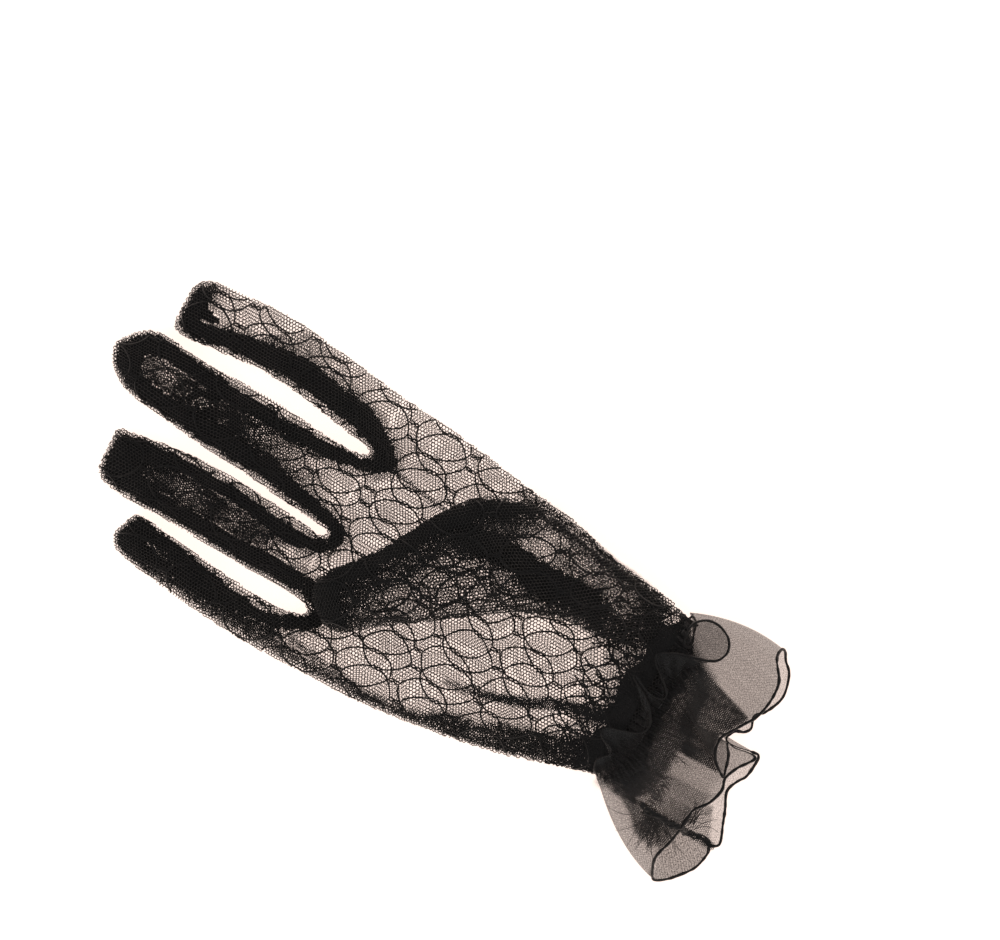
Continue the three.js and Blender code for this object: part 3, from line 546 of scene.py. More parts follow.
holeBand = [
    (14.4, 1, 7, 0.85), (15.8, -6, 10, 0.98), (16.8, -14, 11, 0.99), (16.8, -20, 11, 0.99),
    (16, -25, 11.4, 0.985), (15.4, -30, 12.6, 0.985), (15.6, -35, 13, 0.985), (16.2, -40, 11.6, 0.985),
    (16.2, -45, 11.8, 0.975), (14.8, -50, 11.4, 0.965), (13.6, -55, 10.4, 0.94), (13.6, -60, 8.6, 0.9),
    (13.6, -64, 7, 0.85),
]
creases = [
    [
        (-25.4, -20, 1.8, 0.7), (-24.4, -27, 2.4, 0.92), (-23.4, -31, 2.8, 0.95), (-22.2, -35, 3.0, 0.96),
        (-20.2, -40, 3.4, 0.97), (-18.5, -45, 3.8, 0.97), (-16.0, -50, 4.2, 0.97),
        (-14.0, -55, 3.8, 0.97), (-12.8, -60, 4.6, 0.94), (-11.6, -65, 5.6, 0.96),
    ],
    [(22.4, 26, 1.5, 0.9), (20.6, 16, 1.4, 0.85), (19.5, 5, 1.3, 0.8)],
    [(-37.0, 27, 2.4, 0.75), (-38.6, 14, 2, 0.75), (-39.8, 2, 1.6, 0.6)],
    [
        (34.8, -12, 2.4, 0.8), (34.8, -20, 2.6, 0.85), (34.2, -27, 2.8, 0.93), (33, -33, 2.2, 0.85),
        (31.4, -41, 2.2, 0.9), (30, -50, 2.2, 0.9), (28.4, -60, 2.4, 0.92), (26.6, -66, 2.6, 0.9),
    ],
]
halo = {"wider": 3.4, "density": 0.5}


def densest(paths, **options):
    # the greatest density of several paths, each with a seed of its own
    result = np.zeros(mapX.shape)
    for k, rows in enumerate(paths):
        result = np.maximum(result, pathDensity(rows, seed=20 + 3 * k, **options))
    return result


def mottled(cover, amount, seed):
    # what the folded lace lets through is multiplied by the exponential of waves some millimetres long
    broad, small = waves(mapX * 1.2, mapY * 0.8, 4.2, seed), waves(mapX, mapY, 2.2, seed + 1)
    through = (1 - cover) * np.exp(amount * broad + 0.5 * amount * small)
    return np.where(cover > 0.05, np.clip(1 - through, 0, 1), cover)


insideHand = smooth(handDepth, 0.7, 1.5)
haloRows = [(x, y, width + halo["wider"], halo["density"]) for x, y, width, _ in fingerBand]
bandMap = pathDensity(fingerBand, ragged=0.35, seed=3) * insideHand
haloMap = pathDensity(haloRows, soft=0.9, ragged=0.5, seed=4) * smooth(handDepth, 0.2, 0.6)
liningMap = mottled(densest(fingerLinings, soft=1.7, ragged=0.5) * insideHand, 0.14, 11)
sideMap = pathDensity(sideBand, soft=1.5, ragged=0.5, seed=5) * smooth(handDepth, 0.4, 1.2)
thumbMap = pathDensity(thumbBand, soft=1.1, seed=7) * smooth(thumbDepth, 0.0, 0.8)
thumbLiningMap = mottled(densest(thumbLinings, soft=1.5, ragged=0.4), 0.08, 13) * smooth(thumbDepth, 0.1, 0.8)
holeMap = mottled(pathDensity(holeBand, soft=1.9, ragged=0.7, seed=9), 0.16, 15)
creaseMap = densest(creases, soft=0.9, ragged=0.25)

gathers = {
    "x": [-30, -24, -20, -16, -12, -8, -4, 0, 4, 8, 12, 16, 20, 24, 28],
    # y of each row, towards the wrist, and how much the gathers cover there at each x
    "rows": {
        -50: [0] * 15,
        -56: [0.15, 0.38, 0.08, 0.08, 0.08, 0.03, 0.03, 0.06, 0.16, 0.56, 0.4, 0.26, 0.26, 0.26, 0.26],
        -60: [0.24, 0.56, 0.48, 0.42, 0.48, 0.08, 0.28, 0.24, 0.42, 0.66, 0.44, 0.42, 0.42, 0.4, 0.36],
        -64: [0.54, 0.7, 0.7, 0.68, 0.76, 0.44, 0.72, 0.4, 0.66, 0.78, 0.4, 0.7, 0.8, 0.54, 0.44],
        -67: [0.95, 0.95, 0.95, 0.95, 0.95, 0.95, 0.95, 0.9, 0.93, 0.93, 0.85, 0.95, 0.95, 0.6, 0.5],
        -70: [0.985] * 12 + [0.98, 0.55, 0.3],
        -74: [0.985] * 13 + [0.8, 0.5],
    },
    "most": 0.985, "streak": 0.07, "wander": (0.8, 0.9), "low": -73, "lowFrom": 18,
}


def gatherCover():
    # the cover runs straight from row to row, at places that wander, and is streaked down to the wrist;
    # the wrist's own ring takes over at the low end, but not at the index side
    x = mapX + gathers["wander"][0] * waves(mapX, mapY, 7, 34)
    y = mapY + gathers["wander"][1] * waves(mapX, mapY, 6, 35)
    levels = list(gathers["rows"])
    rows = [np.interp(x, gathers["x"], row) for row in gathers["rows"].values()]
    cover = rows[-1]
    for high, low, above, below in zip(levels[:-1], levels[1:], rows[:-1], rows[1:]):
        share = np.clip((high - y) / (high - low), 0, 1)
        cover = np.where((y <= high) & (y > low), above * (1 - share) + below * share, cover)
    cover = np.where(y > levels[0], 0, cover)
    streak = waves(mapX * 1.8, mapY * 0.35, 5, 31) + 0.6 * waves(mapX + 0.5 * mapY, mapY, 3.2, 33)
    cover = np.clip(cover * (1 + gathers["streak"] * streak * smooth(mapY, -72, -65)), 0, gathers["most"])
    ring = (mapY < gathers["low"]) & (mapX < gathers["lowFrom"])
    return cover * smooth(handDepth, 0.3, 1.0) * np.where(ring, 0, 1)


gatherMap = gatherCover()
report("maps of the dark zones")


# The net, and the lace folded or gathered over itself, whose threads are as wide as the cover that they give
net = {
    "columnPitch": 0.93, "cellPitch": 1.0, "swing": 0.125, "jitter": 0.04, "warp": 0.75, "warpSize": 21.0,
    "heightNoise": 0.06, "columnRadius": 0.149, "rungWidth": 0.21,
}
fold = {
    "columnPitch": 0.7, "cellPitch": 0.74, "swing": 0.11, "jitter": 0.045, "warp": 0.9, "warpSize": 17.0,
    "heightNoise": 0.08, "uneven": 0.07,
}
fineFold = {**fold, "columnPitch": 0.5, "cellPitch": 0.54, "swing": 0.07, "jitter": 0.035, "uneven": 0.03}
evenFold = {
    **fold, "columnPitch": 0.6, "cellPitch": 0.64, "swing": 0.09, "jitter": 0.018, "heightNoise": 0.03,
    "uneven": 0.0,
}
thumbFold = {**evenFold, "columnPitch": 0.47, "cellPitch": 0.5, "swing": 0.07}
tailFold = {**fineFold, "jitter": 0.018, "heightNoise": 0.04, "uneven": 0.015}


class Lattice:
    # Threads run along the glove in columns that swing from side to side, and short rungs join neighbours
    # where they come close, which leaves open hexagons. Crossing i, j lies at u = i p + s (-1)^(i + j) and
    # v = j q / 2, jittered, warped by waves and turned.
    def __init__(self, origin, turn, seed, values=net, box=(-50, 50, -76, 120)):
        left, right, low, high = box
        p, q = values["columnPitch"], values["cellPitch"] / 2
        i = np.arange(int(np.floor(left / p)) - 2, int(np.ceil(right / p)) + 3)[:, None]
        j = np.arange(int(np.floor(low / q)) - 2, int(np.ceil(high / q)) + 3)[None, :]
        sign = 1 - 2 * ((i + j) % 2)
        rng = np.random.default_rng(seed)
        u = i * p + sign * values["swing"] + rng.normal(0, values["jitter"], sign.shape) + origin[0]
        v = j * q + rng.normal(0, values["jitter"], sign.shape) + origin[1] + 0 * i
        u = u + values["warp"] * waves(u, v, values["warpSize"], seed + 1)
        v = v + values["warp"] * waves(u, v, values["warpSize"], seed + 2)
        c, s = np.cos(turn), np.sin(turn)
        self.x, self.y = c * u - s * v, s * u + c * v
        self.sign, self.rng, self.values, self.across = sign, rng, values, np.array([c, s, 0.0])

    def lift(self, heightAt, keep):
        # heightAt gives z at x, y; keep is a true or false for each crossing
        self.keep = keep
        z = heightAt(self.x, self.y) + self.rng.normal(0, self.values["heightNoise"], self.x.shape)
        self.points = np.stack([self.x, self.y, z], axis=-1)

    def columns(self):
        # the threads along the glove, as three-sided tubes
        return tubes(self.points, self.values["columnRadius"], 3, self.keep)

    def rungs(self, width=None):
        # the threads across, as flat ribbons: width is given for each crossing, or is the net's own
        pick = (self.sign[:-1] > 0) & self.keep[:-1] & self.keep[1:]
        if width is None:
            width = np.full(self.x.shape, self.values["rungWidth"])
        return ribbons(self.points[:-1][pick], self.points[1:][pick], width[:-1][pick], width[1:][pick])

    def shade(self, cover):
        # flat threads both ways that cover a share c of the ground: each takes 1 - (1 - c)^0.5 of its pitch
        share = 1 - np.sqrt(1 - np.clip(cover, 0, 0.995))
        share = np.clip(share * (1 + self.values["uneven"] * self.rng.normal(0, 1, (len(share), 1))), 0, 1.05)
        half = (share * self.values["columnPitch"] / 2)[..., None] * self.across
        points = np.stack([self.points - half, self.points + half], axis=2)
        at = np.arange(points.size // 3).reshape(points.shape[:3])
        quads = np.stack([at[:, :-1, 0], at[:, :-1, 1], at[:, 1:, 1], at[:, 1:, 0]], axis=-1)
        along = points.reshape(-1, 3), quads[stretches(self.keep)]
        return [along, self.rungs(share * self.values["cellPitch"])]

    def closedCells(self, where):
        # six-sided patches that close the cells whose middle lies where a map is above a half
        at = np.arange(self.x.size).reshape(self.x.shape)
        ring = np.stack([at[:-1, :-2], at[1:, :-2], at[1:, 1:-1], at[1:, 2:], at[:-1, 2:], at[:-1, 1:-1]])
        pick = (self.sign[:-1, :-2] > 0) & self.keep.ravel()[ring].all(axis=0)
        cx, cy = self.x.ravel()[ring].mean(axis=0), self.y.ravel()[ring].mean(axis=0)
        pick &= sample(where, cx, cy) > 0.5
        return self.points.reshape(-1, 3), ring[:, pick].T


def regionArea(mask):
    # square metres of the ground where a map is true
    return float(mask.sum()) * gridStep**2 * mm**2


# Each sheet of net: its lattice's shift, turn and seed. The hand's two layers are cut at the knuckles.
backNet = {"origin": (0.31, 0.12), "turn": 0.006, "seed": 101}
palmNet = {"origin": (0.05, 0.4), "turn": -0.012, "seed": 201}
thumbNet = {"origin": (0.2, 0.1), "turn": 0.62, "seed": 301, "box": (-60, 60, -80, 60)}
palmSpan, fingerSpan, wholeSpan = (-80, 33), (33, 120), (-80, 120)
insideBy, shutFrom = 0.02, 0.965
whole = np.ones(mapX.shape, bool)
openHole = holeDepth < 0.2
fingerShut = np.maximum(bandMap, liningMap)
thumbShut = np.maximum(thumbMap, holeMap)
palmShut = np.maximum(fingerShut, thumbShut)


def netPiece(name, field, heightAt, values, span, mask, replaced=(), hidden=None):
    # the net where the depth field and the mask are inside and y lies in the span; under the seam bands,
    # where nothing shows through, its cells are drawn shut
    low, high = span
    lattice = Lattice(**values)
    here = (sample(field, lattice.x, lattice.y) > insideBy) & (lattice.y > low) & (lattice.y < high)
    lattice.lift(heightAt, here & (sample(mask.astype(float), lattice.x, lattice.y) > 0.5))
    parts = []
    if hidden is not None:
        shut = (hidden > shutFrom).astype(float)
        parts.append(lattice.closedCells(shut))
        lattice.keep = lattice.keep & (sample(shut, lattice.x, lattice.y) < 0.5)
    parts += [lattice.columns(), lattice.rungs()]
    piece = addPiece(name, parts, netMaterial, replaced)
    region = (field > 0) & mask & (mapY > low) & (mapY < high)


netPiece("back_net_palm", handDepth, handLowAt, backNet, palmSpan, whole,
         ["back_side_lace"], palmShut)
netPiece("back_net_fingers", handDepth, handLowAt, backNet, fingerSpan, whole,
         hidden=fingerShut)
netPiece("palm_net_palm", handDepth, handTopAt, palmNet, palmSpan, openHole,
         ["palm_side_lace"], thumbShut)
netPiece("palm_net_fingers", handDepth, handTopAt, palmNet, fingerSpan, whole,
         [finger + "_finger_palm_side_lace" for finger in fingerOutline])
netPiece("thumb_net_under", thumbDepth, thumbLowAt, thumbNet, wholeSpan, openHole,
         ["thumb_under_lace"])
netPiece("thumb_net_top", thumbDepth, thumbTopAt, thumbNet, wholeSpan, whole,
         ["thumb_top_lace"])
report("nets")


# The thicker outlining threads: round ovals in rows, joined by short ladders of two threads
gimp = {
    "pitchX": 11.9, "pitchY": 20.2, "link": 3.6, "side": 3.0, "gap": 0.26, "knot": 0.31,
    "arm": 7, "crowd": 1.45, "palmCurve": 1.45, "knuckleCurve": 1.6, "knuckles": (0, 14),
    "radius": 0.262, "slant": -0.09, "above": 0.14, "margin": 0.3, "rungPlaces": 9,
    "reach": (64, 130), "wander": (0.7, 0.8), "wanderSize": (19, 21),
}
# the same threads on the back, where the gathers draw them together, and doubled on the thumb
onBack = {**gimp, "slant": -0.11}
gathered = {**gimp, "pitchX": 7.0, "pitchY": 10.5, "link": 1.8, "side": 1.5}
onThumb = {**gimp, "radius": 0.31, "slant": 0.0, "palmCurve": 1.6}


def ovalRun(values, curve):
    # one pitch of a thread: its places along the glove, its swing from 1 (where a ladder joins the ovals'
    # ends) to -1 (where it joins their sides), and how far the ladder's eyelets open at each place
    rung = np.linspace(0, 1, values["rungPlaces"])
    t = (np.linspace(0, 1, values["arm"] + 1) ** values["crowd"])[1:-1]
    # an arm follows a quarter of an oval: x = 1 - 2 (1 - (1 - t)^n)^(1/n), n from 1 (straight) to 2 (round)
    arm = 1 - 2 * (1 - (1 - t) ** curve) ** (1 / curve)
    link, side = values["link"], values["side"]
    rise = (values["pitchY"] - link - side) / 2
    far = link + rise
    back = far + side + rise * (1 - t[::-1])
    along = np.concatenate([link * rung, link + rise * t, far + side * rung, back]) - link / 2
    swing = np.concatenate([0 * rung + 1, arm, 0 * rung - 1, arm[::-1]])
    eyelet = np.abs(np.sin(tau * rung))
    return along, swing, np.concatenate([eyelet, 0 * t, eyelet, 0 * t])


def gimpLines(field, heightAt, shift, turn, seed, low, high, keepOut=None, values=gimp):
    # neighbouring threads swing to opposite sides: x = X + (-1)^i (A swing - k swing eyelet), for thread i
    p, pitch = values["pitchX"] / 2, values["pitchY"]
    across, lengthways = int(values["reach"][0] / p), int(values["reach"][1] / pitch)
    i = np.arange(-across, across)[:, None]
    along, swing, eyelet = ovalRun(values, values["palmCurve"])
    rounder = ovalRun(values, values["knuckleCurve"])[1]
    repeats = np.arange(-lengthways, lengthways + 1)
    v = (repeats[:, None] * pitch + along).reshape(1, -1)
    swing, rounder, eyelet = (np.tile(part, len(repeats))[None] for part in (swing, rounder, eyelet))
    swing = mixed(swing, rounder, smooth(v, *values["knuckles"]))
    side = 1 - 2 * (i % 2)
    u = (i + 0.5) * p + side * swing * ((p - values["gap"]) / 2 - values["knot"] * eyelet)
    v = v + values["slant"] * u
    u = u + shift[0] + values["wander"][0] * waves(u, v, values["wanderSize"][0], seed + 1)
    v = v + shift[1] + values["wander"][1] * waves(u, v, values["wanderSize"][1], seed + 2)
    c, s = np.cos(turn), np.sin(turn)
    x, y = c * u - s * v, s * u + c * v
    keep = (sample(field, x, y) > values["margin"]) & (y > low) & (y < high)
    if keepOut is not None:
        keep &= sample(keepOut, x, y) < 0
    return tubes(np.stack([x, y, heightAt(x, y) + values["above"]], axis=-1), values["radius"], 4, keep)


addPiece("gimp_back", [
    gimpLines(handDepth, raised(handLowAt, -0.1), (-4.4, -9.2), 0.0, 41, -70, 118, values=onBack),
], gimpMaterial)
addPiece("gimp_palm", [
    gimpLines(handDepth, handTopAt, (3.6, 7.6), 0.0, 42, -70, 118, keepOut=holeDepth),
    gimpLines(handDepth, raised(handTopAt, -0.3), (1.0, 2.0), 0.12, 45, -76, -52, values=gathered),
    gimpLines(handDepth, raised(handTopAt, -0.6), (3.0, 0.0), -0.2, 46, -76, -57, values=gathered),
], gimpMaterial)
addPiece("gimp_thumb", [
    gimpLines(thumbDepth, thumbTopAt, (0, 1), 0.55, 43, -66, 30, values=onThumb),
    gimpLines(thumbDepth, thumbLowAt, (3, 5), 0.62, 44, -66, 30, keepOut=holeDepth, values=onThumb),
], gimpMaterial)
report("outlining threads")


# Folded allowances: near-black bands of flat threads, dense and frayed at their edges
foldLook = {
    "dark": rgb(0.004, 0.0031, 0.0031), "light": rgb(0.0135, 0.0104, 0.0098), "knit": 1150.0, "fibre": 3800.0,
    "mottle": 140.0, "relief": 0.00025,
}
# how a lattice turns, shifts and takes its seed from layer to layer, the covers from which threads and the
# strip itself are counted, what the strip takes up of the rectangle round it, and the least width of that
allowance = {
    "layerTurn": 0.3, "layerShift": (0.17, 0.31), "layerSeed": 10, "leastCover": 0.02, "groundFrom": 0.45,
    "cut": 0.92, "narrowest": 0.0102,
}


def foldMaterial():
    # several layers of lace seen as one: dark, with the net still showing as a fine raised pattern
    g = Graph("folded_lace")
    place = g.place()
    knit = g.cells(place, foldLook["knit"])
    fine = g.noise(place, foldLook["fibre"], 3.0, 0.65)
    broad = g.noise(place, foldLook["mottle"], 3.0, 0.6)
    height = g.spread(knit, 0.1, 0.75) + 0.5 * fine
    shade = g.spread(0.5 * broad + 0.5 * fine, 0.35, 0.65)
    return g.feed({
        "Base Color": g.blend(shade, foldLook["dark"], foldLook["light"]),
        "Roughness": 0.78 + 0.2 * (fine - 0.5),
        "Normal": g.bump(height, foldLook["relief"], 0.9), "Sheen Weight": 0.12,
    })


foldedMaterial = foldMaterial()


def doubled(density, low, high, lace=fold, under=0.5):
    # two layers that share out the cover: what comes through is (1 - c)^under times (1 - c)^(1 - under)
    through = 1 - np.clip(density, 0, 0.999)
    return [(density, 1 - through**under, low, lace), (density, 1 - through ** (1 - under), high, lace)]


def foldedPiece(name, layers, seed, replaced, turn=0.02):
    # a layer is the map that gives its ground, its own cover, its height function and its lattice
    parts, area = [], 0
    stepX, stepY = allowance["layerShift"]
    for k, (ground, cover, heightAt, lace) in enumerate(layers):
        layerTurn, layerSeed = turn + allowance["layerTurn"] * k, seed + allowance["layerSeed"] * k
        lattice = Lattice((stepX * k, stepY * k), layerTurn, layerSeed, lace, box=(-75, 75, -130, 130))
        here = sample(cover, lattice.x, lattice.y)
        lattice.lift(heightAt, here > allowance["leastCover"])
        parts += lattice.shade(here)
        area += regionArea(ground > allowance["groundFrom"])
    piece = addPiece(name, parts, foldedMaterial, replaced)


# the linings leave out the bands that cover them
fingerLining = np.where(bandMap > 0.9, 0, liningMap)
thumbLining = np.where(thumbMap > 0.95, 0, thumbLiningMap)
handLevel = {share: between(handLowAt, handTopAt, share, -0.25) for share in (0.2, 0.25, 0.5, 0.75, 0.85)}
thumbMiddle = between(thumbLowAt, thumbTopAt, 0.5)
fingerLayers = doubled(np.maximum(bandMap, haloMap), handLevel[0.2], handLevel[0.85])
fingerLayers += [(fingerLining, fingerLining, handLevel[0.5], evenFold)]
sideLayers = doubled(sideMap, handLevel[0.25], handLevel[0.75], fold, 0.3)
thumbLayers = doubled(thumbMap, raised(thumbLowAt, 0.4), raised(thumbTopAt, -0.4), fold, 0.2)
thumbLayers += [(thumbLining, thumbLining, thumbMiddle, thumbFold)]
holeLayers = doubled(holeMap, raised(handTopAt, -0.5), raised(handTopAt, 0.35), fold, 0.2)
gatherLayers = [
    (gatherMap, gatherMap, raised(handTopAt, 0.2), fineFold),
    (creaseMap, creaseMap, raised(handTopAt, 0.3), fineFold),
]
foldedPiece("finger_seam_allowance", fingerLayers, 501, ["finger_seam"])
foldedPiece("side_seam_allowance", sideLayers, 521, ["side_seam"])
foldedPiece("thumb_seam_allowance", thumbLayers, 541, ["thumb_seam"],
            turn=0.3)
foldedPiece("thumb_hole_allowance", holeLayers, 561, ["thumb_hole_seam"])
foldedPiece("wrist_gathers", gatherLayers, 591, [])
report("allowances")


# The wrist: a pleated ring of dense lace, its two edges wavy and its pleats deepest at the elastic
wrist = {
    "halfWidth": 26.6, "low": 0.9, "front": 6.6, "high": 9.6, "from": -68.0, "to": -82.0, "rise": 5.5,
    "fall": 5.0, "riseFrom": (13, 23), "fallFrom": (19, 24), "frontReach": (0.0, 0.6), "girth": 130,
    "flare": 0.8, "drawnIn": 0.5, "outHeight": 5, "floor": 0.15,
    # the waves of the two edges and of the pleats, each with its size and seed
    "longWave": 2.4, "shortWave": 0.8, "lowWave": 1.4, "edgeWaves": ((22, 63), (9, 64)),
    "wander": 0.004, "wanderWaves": (14, 61), "twist": 2.2, "twistWaves": (9, 62),
    # the pleats: how many, how many times more of the finer ones, the shares of both, and their depth
    "pleats": 46, "finer": 2.3, "shares": (0.75, 0.35), "depth": 0.7, "leastDepth": 0.25,
    "elastic": (0.52, 0.3), "columns": 520, "rows": 34, "pitch": 0.42, "cloth": 26, "flat": (0.0205, 0.13),
    "dark": rgb(0.005, 0.004, 0.004), "light": rgb(0.03, 0.024, 0.022), "knit": 1300.0, "fibre": 3000.0,
    "mottle": 160.0, "relief": 0.0003,
}


def wristRing(share, halfWidth, low, high):
    # a flattened ring of two straight runs and two half circles, walked at an even pace: share 0 is the
    # index side, a quarter the top, a half the little finger's side
    radius = (high - low) / 2
    flat = 2 * (halfWidth - radius)
    bend = np.pi * radius
    walk = (share % 1) * 2 * (flat + bend)
    middle = (low + high) / 2
    edges = [bend / 2, bend / 2 + flat, 1.5 * bend + flat, 1.5 * bend + 2 * flat]
    runs = [walk < edge for edge in edges]
    first, second = walk / radius, np.pi / 2 + (walk - edges[1]) / radius
    last = (walk - 2 * bend - 2 * flat) / radius
    x = np.select(runs, [
        flat / 2 + radius * np.cos(first), flat / 2 - (walk - edges[0]),
        -flat / 2 + radius * np.cos(second), walk - edges[2] - flat / 2,
    ], flat / 2 + radius * np.cos(last))
    z = np.select(runs, [
        middle + radius * np.sin(first), high + 0 * walk, middle + radius * np.sin(second), low + 0 * walk,
    ], middle + radius * np.sin(last))
    return x, z


def ruchedLace():
    # rows of the flattened ring from the palm to the ruffle, pushed outwards by two sine waves of pleats
    columns, rows = wrist["columns"], wrist["rows"]
    share = np.arange(columns)[None, :] / columns
    t = np.linspace(0, 1, rows)[:, None]
    place = share * wrist["girth"]
    broad, short = (waves(place, 0 * share, size, seed) for size, seed in wrist["edgeWaves"])
    across, _ = wristRing(share, wrist["halfWidth"], wrist["low"], wrist["high"])
    lowEnd = wrist["to"] + wrist["rise"] * smooth(across, *wrist["riseFrom"])
    highEnd = wrist["from"] - wrist["fall"] * smooth(across, *wrist["fallFrom"])
    palmWave = wrist["longWave"] * broad + wrist["shortWave"] * short
    y = highEnd + (lowEnd - highEnd) * t + palmWave * (1 - t) ** 2 + wrist["lowWave"] * short * t
    at, reach = wrist["elastic"]
    grip = np.exp(-(((t - at) / reach) ** 2))
    wander = share + wrist["wander"] * waves(share * 60, y * 0.5, *wrist["wanderWaves"])
    twist = wrist["twist"] * waves(share * 40, y * 0.35, *wrist["twistWaves"])
    coarse, fine = wrist["shares"]
    pleat = coarse * np.sin(tau * wrist["pleats"] * wander + twist)
    pleat = pleat + fine * np.sin(tau * wrist["finer"] * wrist["pleats"] * wander + 1.0)
    half = wrist["halfWidth"] + wrist["flare"] * (1 - t) ** 2 - wrist["drawnIn"] * grip
    high = mixed(wrist["front"], wrist["high"], smooth(t, *wrist["frontReach"]))
    x, z = wristRing(share + 0 * t, half, wrist["low"] + 0 * t, high + 0 * share)
    outwards = (z - (wrist["low"] + high) / 2) / wrist["outHeight"]
    out = unit(np.stack([x / wrist["halfWidth"], 0 * x, outwards], axis=-1))
    deep = wrist["depth"] * (wrist["leastDepth"] + grip) * pleat
    points = np.stack([x, y + 0 * x, z], axis=-1) + out * deep[..., None]
    points[..., 2] = np.maximum(points[..., 2], wrist["floor"])
    return points


def ruchedMaterial():
    # gathered lace: streaks along the pleats and the net as a fine pattern
    g = Graph("ruched_lace")
    place = g.place()
    knit = g.cells(place, wrist["knit"])
    fine = g.noise(place, wrist["fibre"], 3.0, 0.6)
    broad = g.noise(place, wrist["mottle"], 4.0, 0.6)
    return g.feed({
        "Base Color": g.blend(g.spread(0.6 * broad + 0.4 * knit, 0.3, 0.7), wrist["dark"], wrist["light"]),
        "Roughness": 0.72 + 0.2 * (fine - 0.5),
        "Normal": g.bump(knit + 0.5 * fine, wrist["relief"], 0.9), "Sheen Weight": 0.2,
    })


wristDown = np.linspace(0, wrist["cloth"], wrist["rows"])
wristPiece = addRing("wrist_ruching", ruchedLace(), wrist["pitch"], wristDown, ruchedMaterial(),
                     ["wrist_elastic"])
report("wrist")


# The organza: one strip, gathered at the wrist, its hem running in folds. Hem places are x, y, z in order
# from the index side over the top to the little finger's side and back below.
ruffleTop = [
    (32.6, -102.8, 6.2), (30.4, -102.2, 8.4), (28, -103.2, 10.2), (24, -105.9, 12.0), (20, -106.6, 12.6),
    (15.6, -106.4, 12.4), (11, -105.3, 12.0), (8, -103.5, 11.6), (4, -101, 12.0), (1.4, -99.2, 13.2),
    (-0.6, -98.9, 13.8), (-4, -99.6, 14.0), (-7, -102, 13.4), (-9.2, -105.4, 12.4), (-7.6, -105.2, 11.2),
    (-3, -103.8, 11.0), (0.2, -101.6, 10.6), (-0.2, -104.6, 10.0), (0.5, -108.4, 9.6), (0.2, -111.4, 9.2),
    (-2.4, -110.0, 9.8), (-5, -108, 10.6), (-9.4, -106.2, 11.4), (-13, -107, 12.0), (-18, -105.5, 12.6),
    (-22, -102.4, 13.4), (-25, -102, 13.8), (-33, -101.3, 12.0), (-40, -99.7, 10.4), (-44.6, -101.2, 8.0),
]
ruffleUnder = [
    (-46.9, -103.2, 5.0), (-45.4, -106.4, 2.8), (-43, -109, 1.6), (-38, -112.8, 0.9),
    (-32.4, -114.0, 0.9), (-30.2, -113.2, 1.6), (-28.2, -115.7, 1.4), (-22, -113.4, 2.2),
    (-18, -111.8, 2.8), (-13, -109.6, 3.0), (-9, -111, 2.2), (-6, -112.8, 1.6), (0.4, -113.2, 1.0),
    (1.0, -111.0, 1.4), (0.0, -105.0, 2.6), (0.7, -101.6, 3.2), (4, -103, 2.6), (5, -105.4, 2.0),
    (7, -106.9, 1.6), (9.6, -106, 1.8), (11.4, -106, 2.4), (14, -108.5, 1.8), (20, -110.7, 1.0),
    (26.8, -109, 1.2), (30, -106, 2.0), (32.2, -104.4, 3.6),
]
headingTop = [
    (27.4, -76.0, 5.0), (24.4, -77.0, 9.4), (20.0, -78.0, 12.0), (19.6, -76.2, 13.0), (22.6, -75.2, 13.4),
    (26.2, -75.6, 13.4), (28.9, -78.6, 13.0), (29.2, -82.6, 13.0), (27.2, -86.6, 13.4),
    (23.6, -88.2, 13.8), (20, -86.7, 14.2), (17.9, -82.6, 14.4), (16.4, -77.0, 13.6), (13.4, -71.2, 12.6),
    (11.2, -70.8, 13.0), (8.0, -74.2, 14.0), (5.2, -77.6, 14.6), (3.0, -78.8, 14.8), (1.5, -77.2, 14.6),
    (1.7, -73.4, 13.8), (3.6, -69.4, 13.0), (4.2, -67.4, 12.6), (2.8, -68.6, 13.0), (0.4, -73.0, 13.8),
    (-3.2, -77.0, 14.6), (-7.4, -78.8, 14.8), (-10.4, -77.0, 14.6), (-12.2, -72.4, 13.8),
    (-13.6, -68.4, 13.0), (-15.6, -67.4, 12.6), (-17.4, -69.2, 13.0), (-18.4, -72.2, 13.6),
    (-20.6, -72.6, 13.2), (-23.2, -70.4, 12.4), (-26.8, -71.4, 11.0),
]
headingUnder = [
    (-28.4, -74.4, 5.0), (-26.8, -74.4, 0.9), (-14, -74, 0.6), (0, -74, 0.6), (14, -74, 0.6),
    (26.6, -74.6, 0.9),
]
organza = {
    "gatherAt": -79.0, "sideRise": 5.5, "sidePower": 5, "halfWidth": 28.6, "low": 0.5, "high": 10.6,
    # the pleats: how many, their depth, least share of it, reach from the gather line, wander and lean
    "pleats": 58, "pleatDepth": 0.55, "pleatLeast": 0.25, "pleatReach": 0.22, "pleatWander": 1.5,
    "pleatLean": 0.25, "leftBulge": 1.3, "rightBulge": 1.05, "liftedFrom": 2, "floor": 0.25,
    "columns": 600, "rows": 32, "headingRows": 13, "pitch": 0.45, "cloth": (0, 33),
    "headingCloth": (-8, -0.6), "flat": (0.236, 0.036), "cover": 0.475, "steepCover": 0.27,
    "dark": rgb(0.022, 0.016, 0.014), "light": rgb(0.055, 0.042, 0.036),
    # the gathered colour is painted shade: the darker colour that the cloth takes where its pleats crowd at
    # the gather line
    "gathered": rgb(0.012, 0.0095, 0.0085), "threads": 26.0, "mottle": 70.0, "relief": 0.00003,
}
# where the little finger's lobe of the frill stands steep under its hem
leftLobe = [
    (-50, -99), (-44, -101.4), (-40, -100.2), (-33, -101.6), (-30.2, -102), (-30.2, -118), (-50, -118),
]


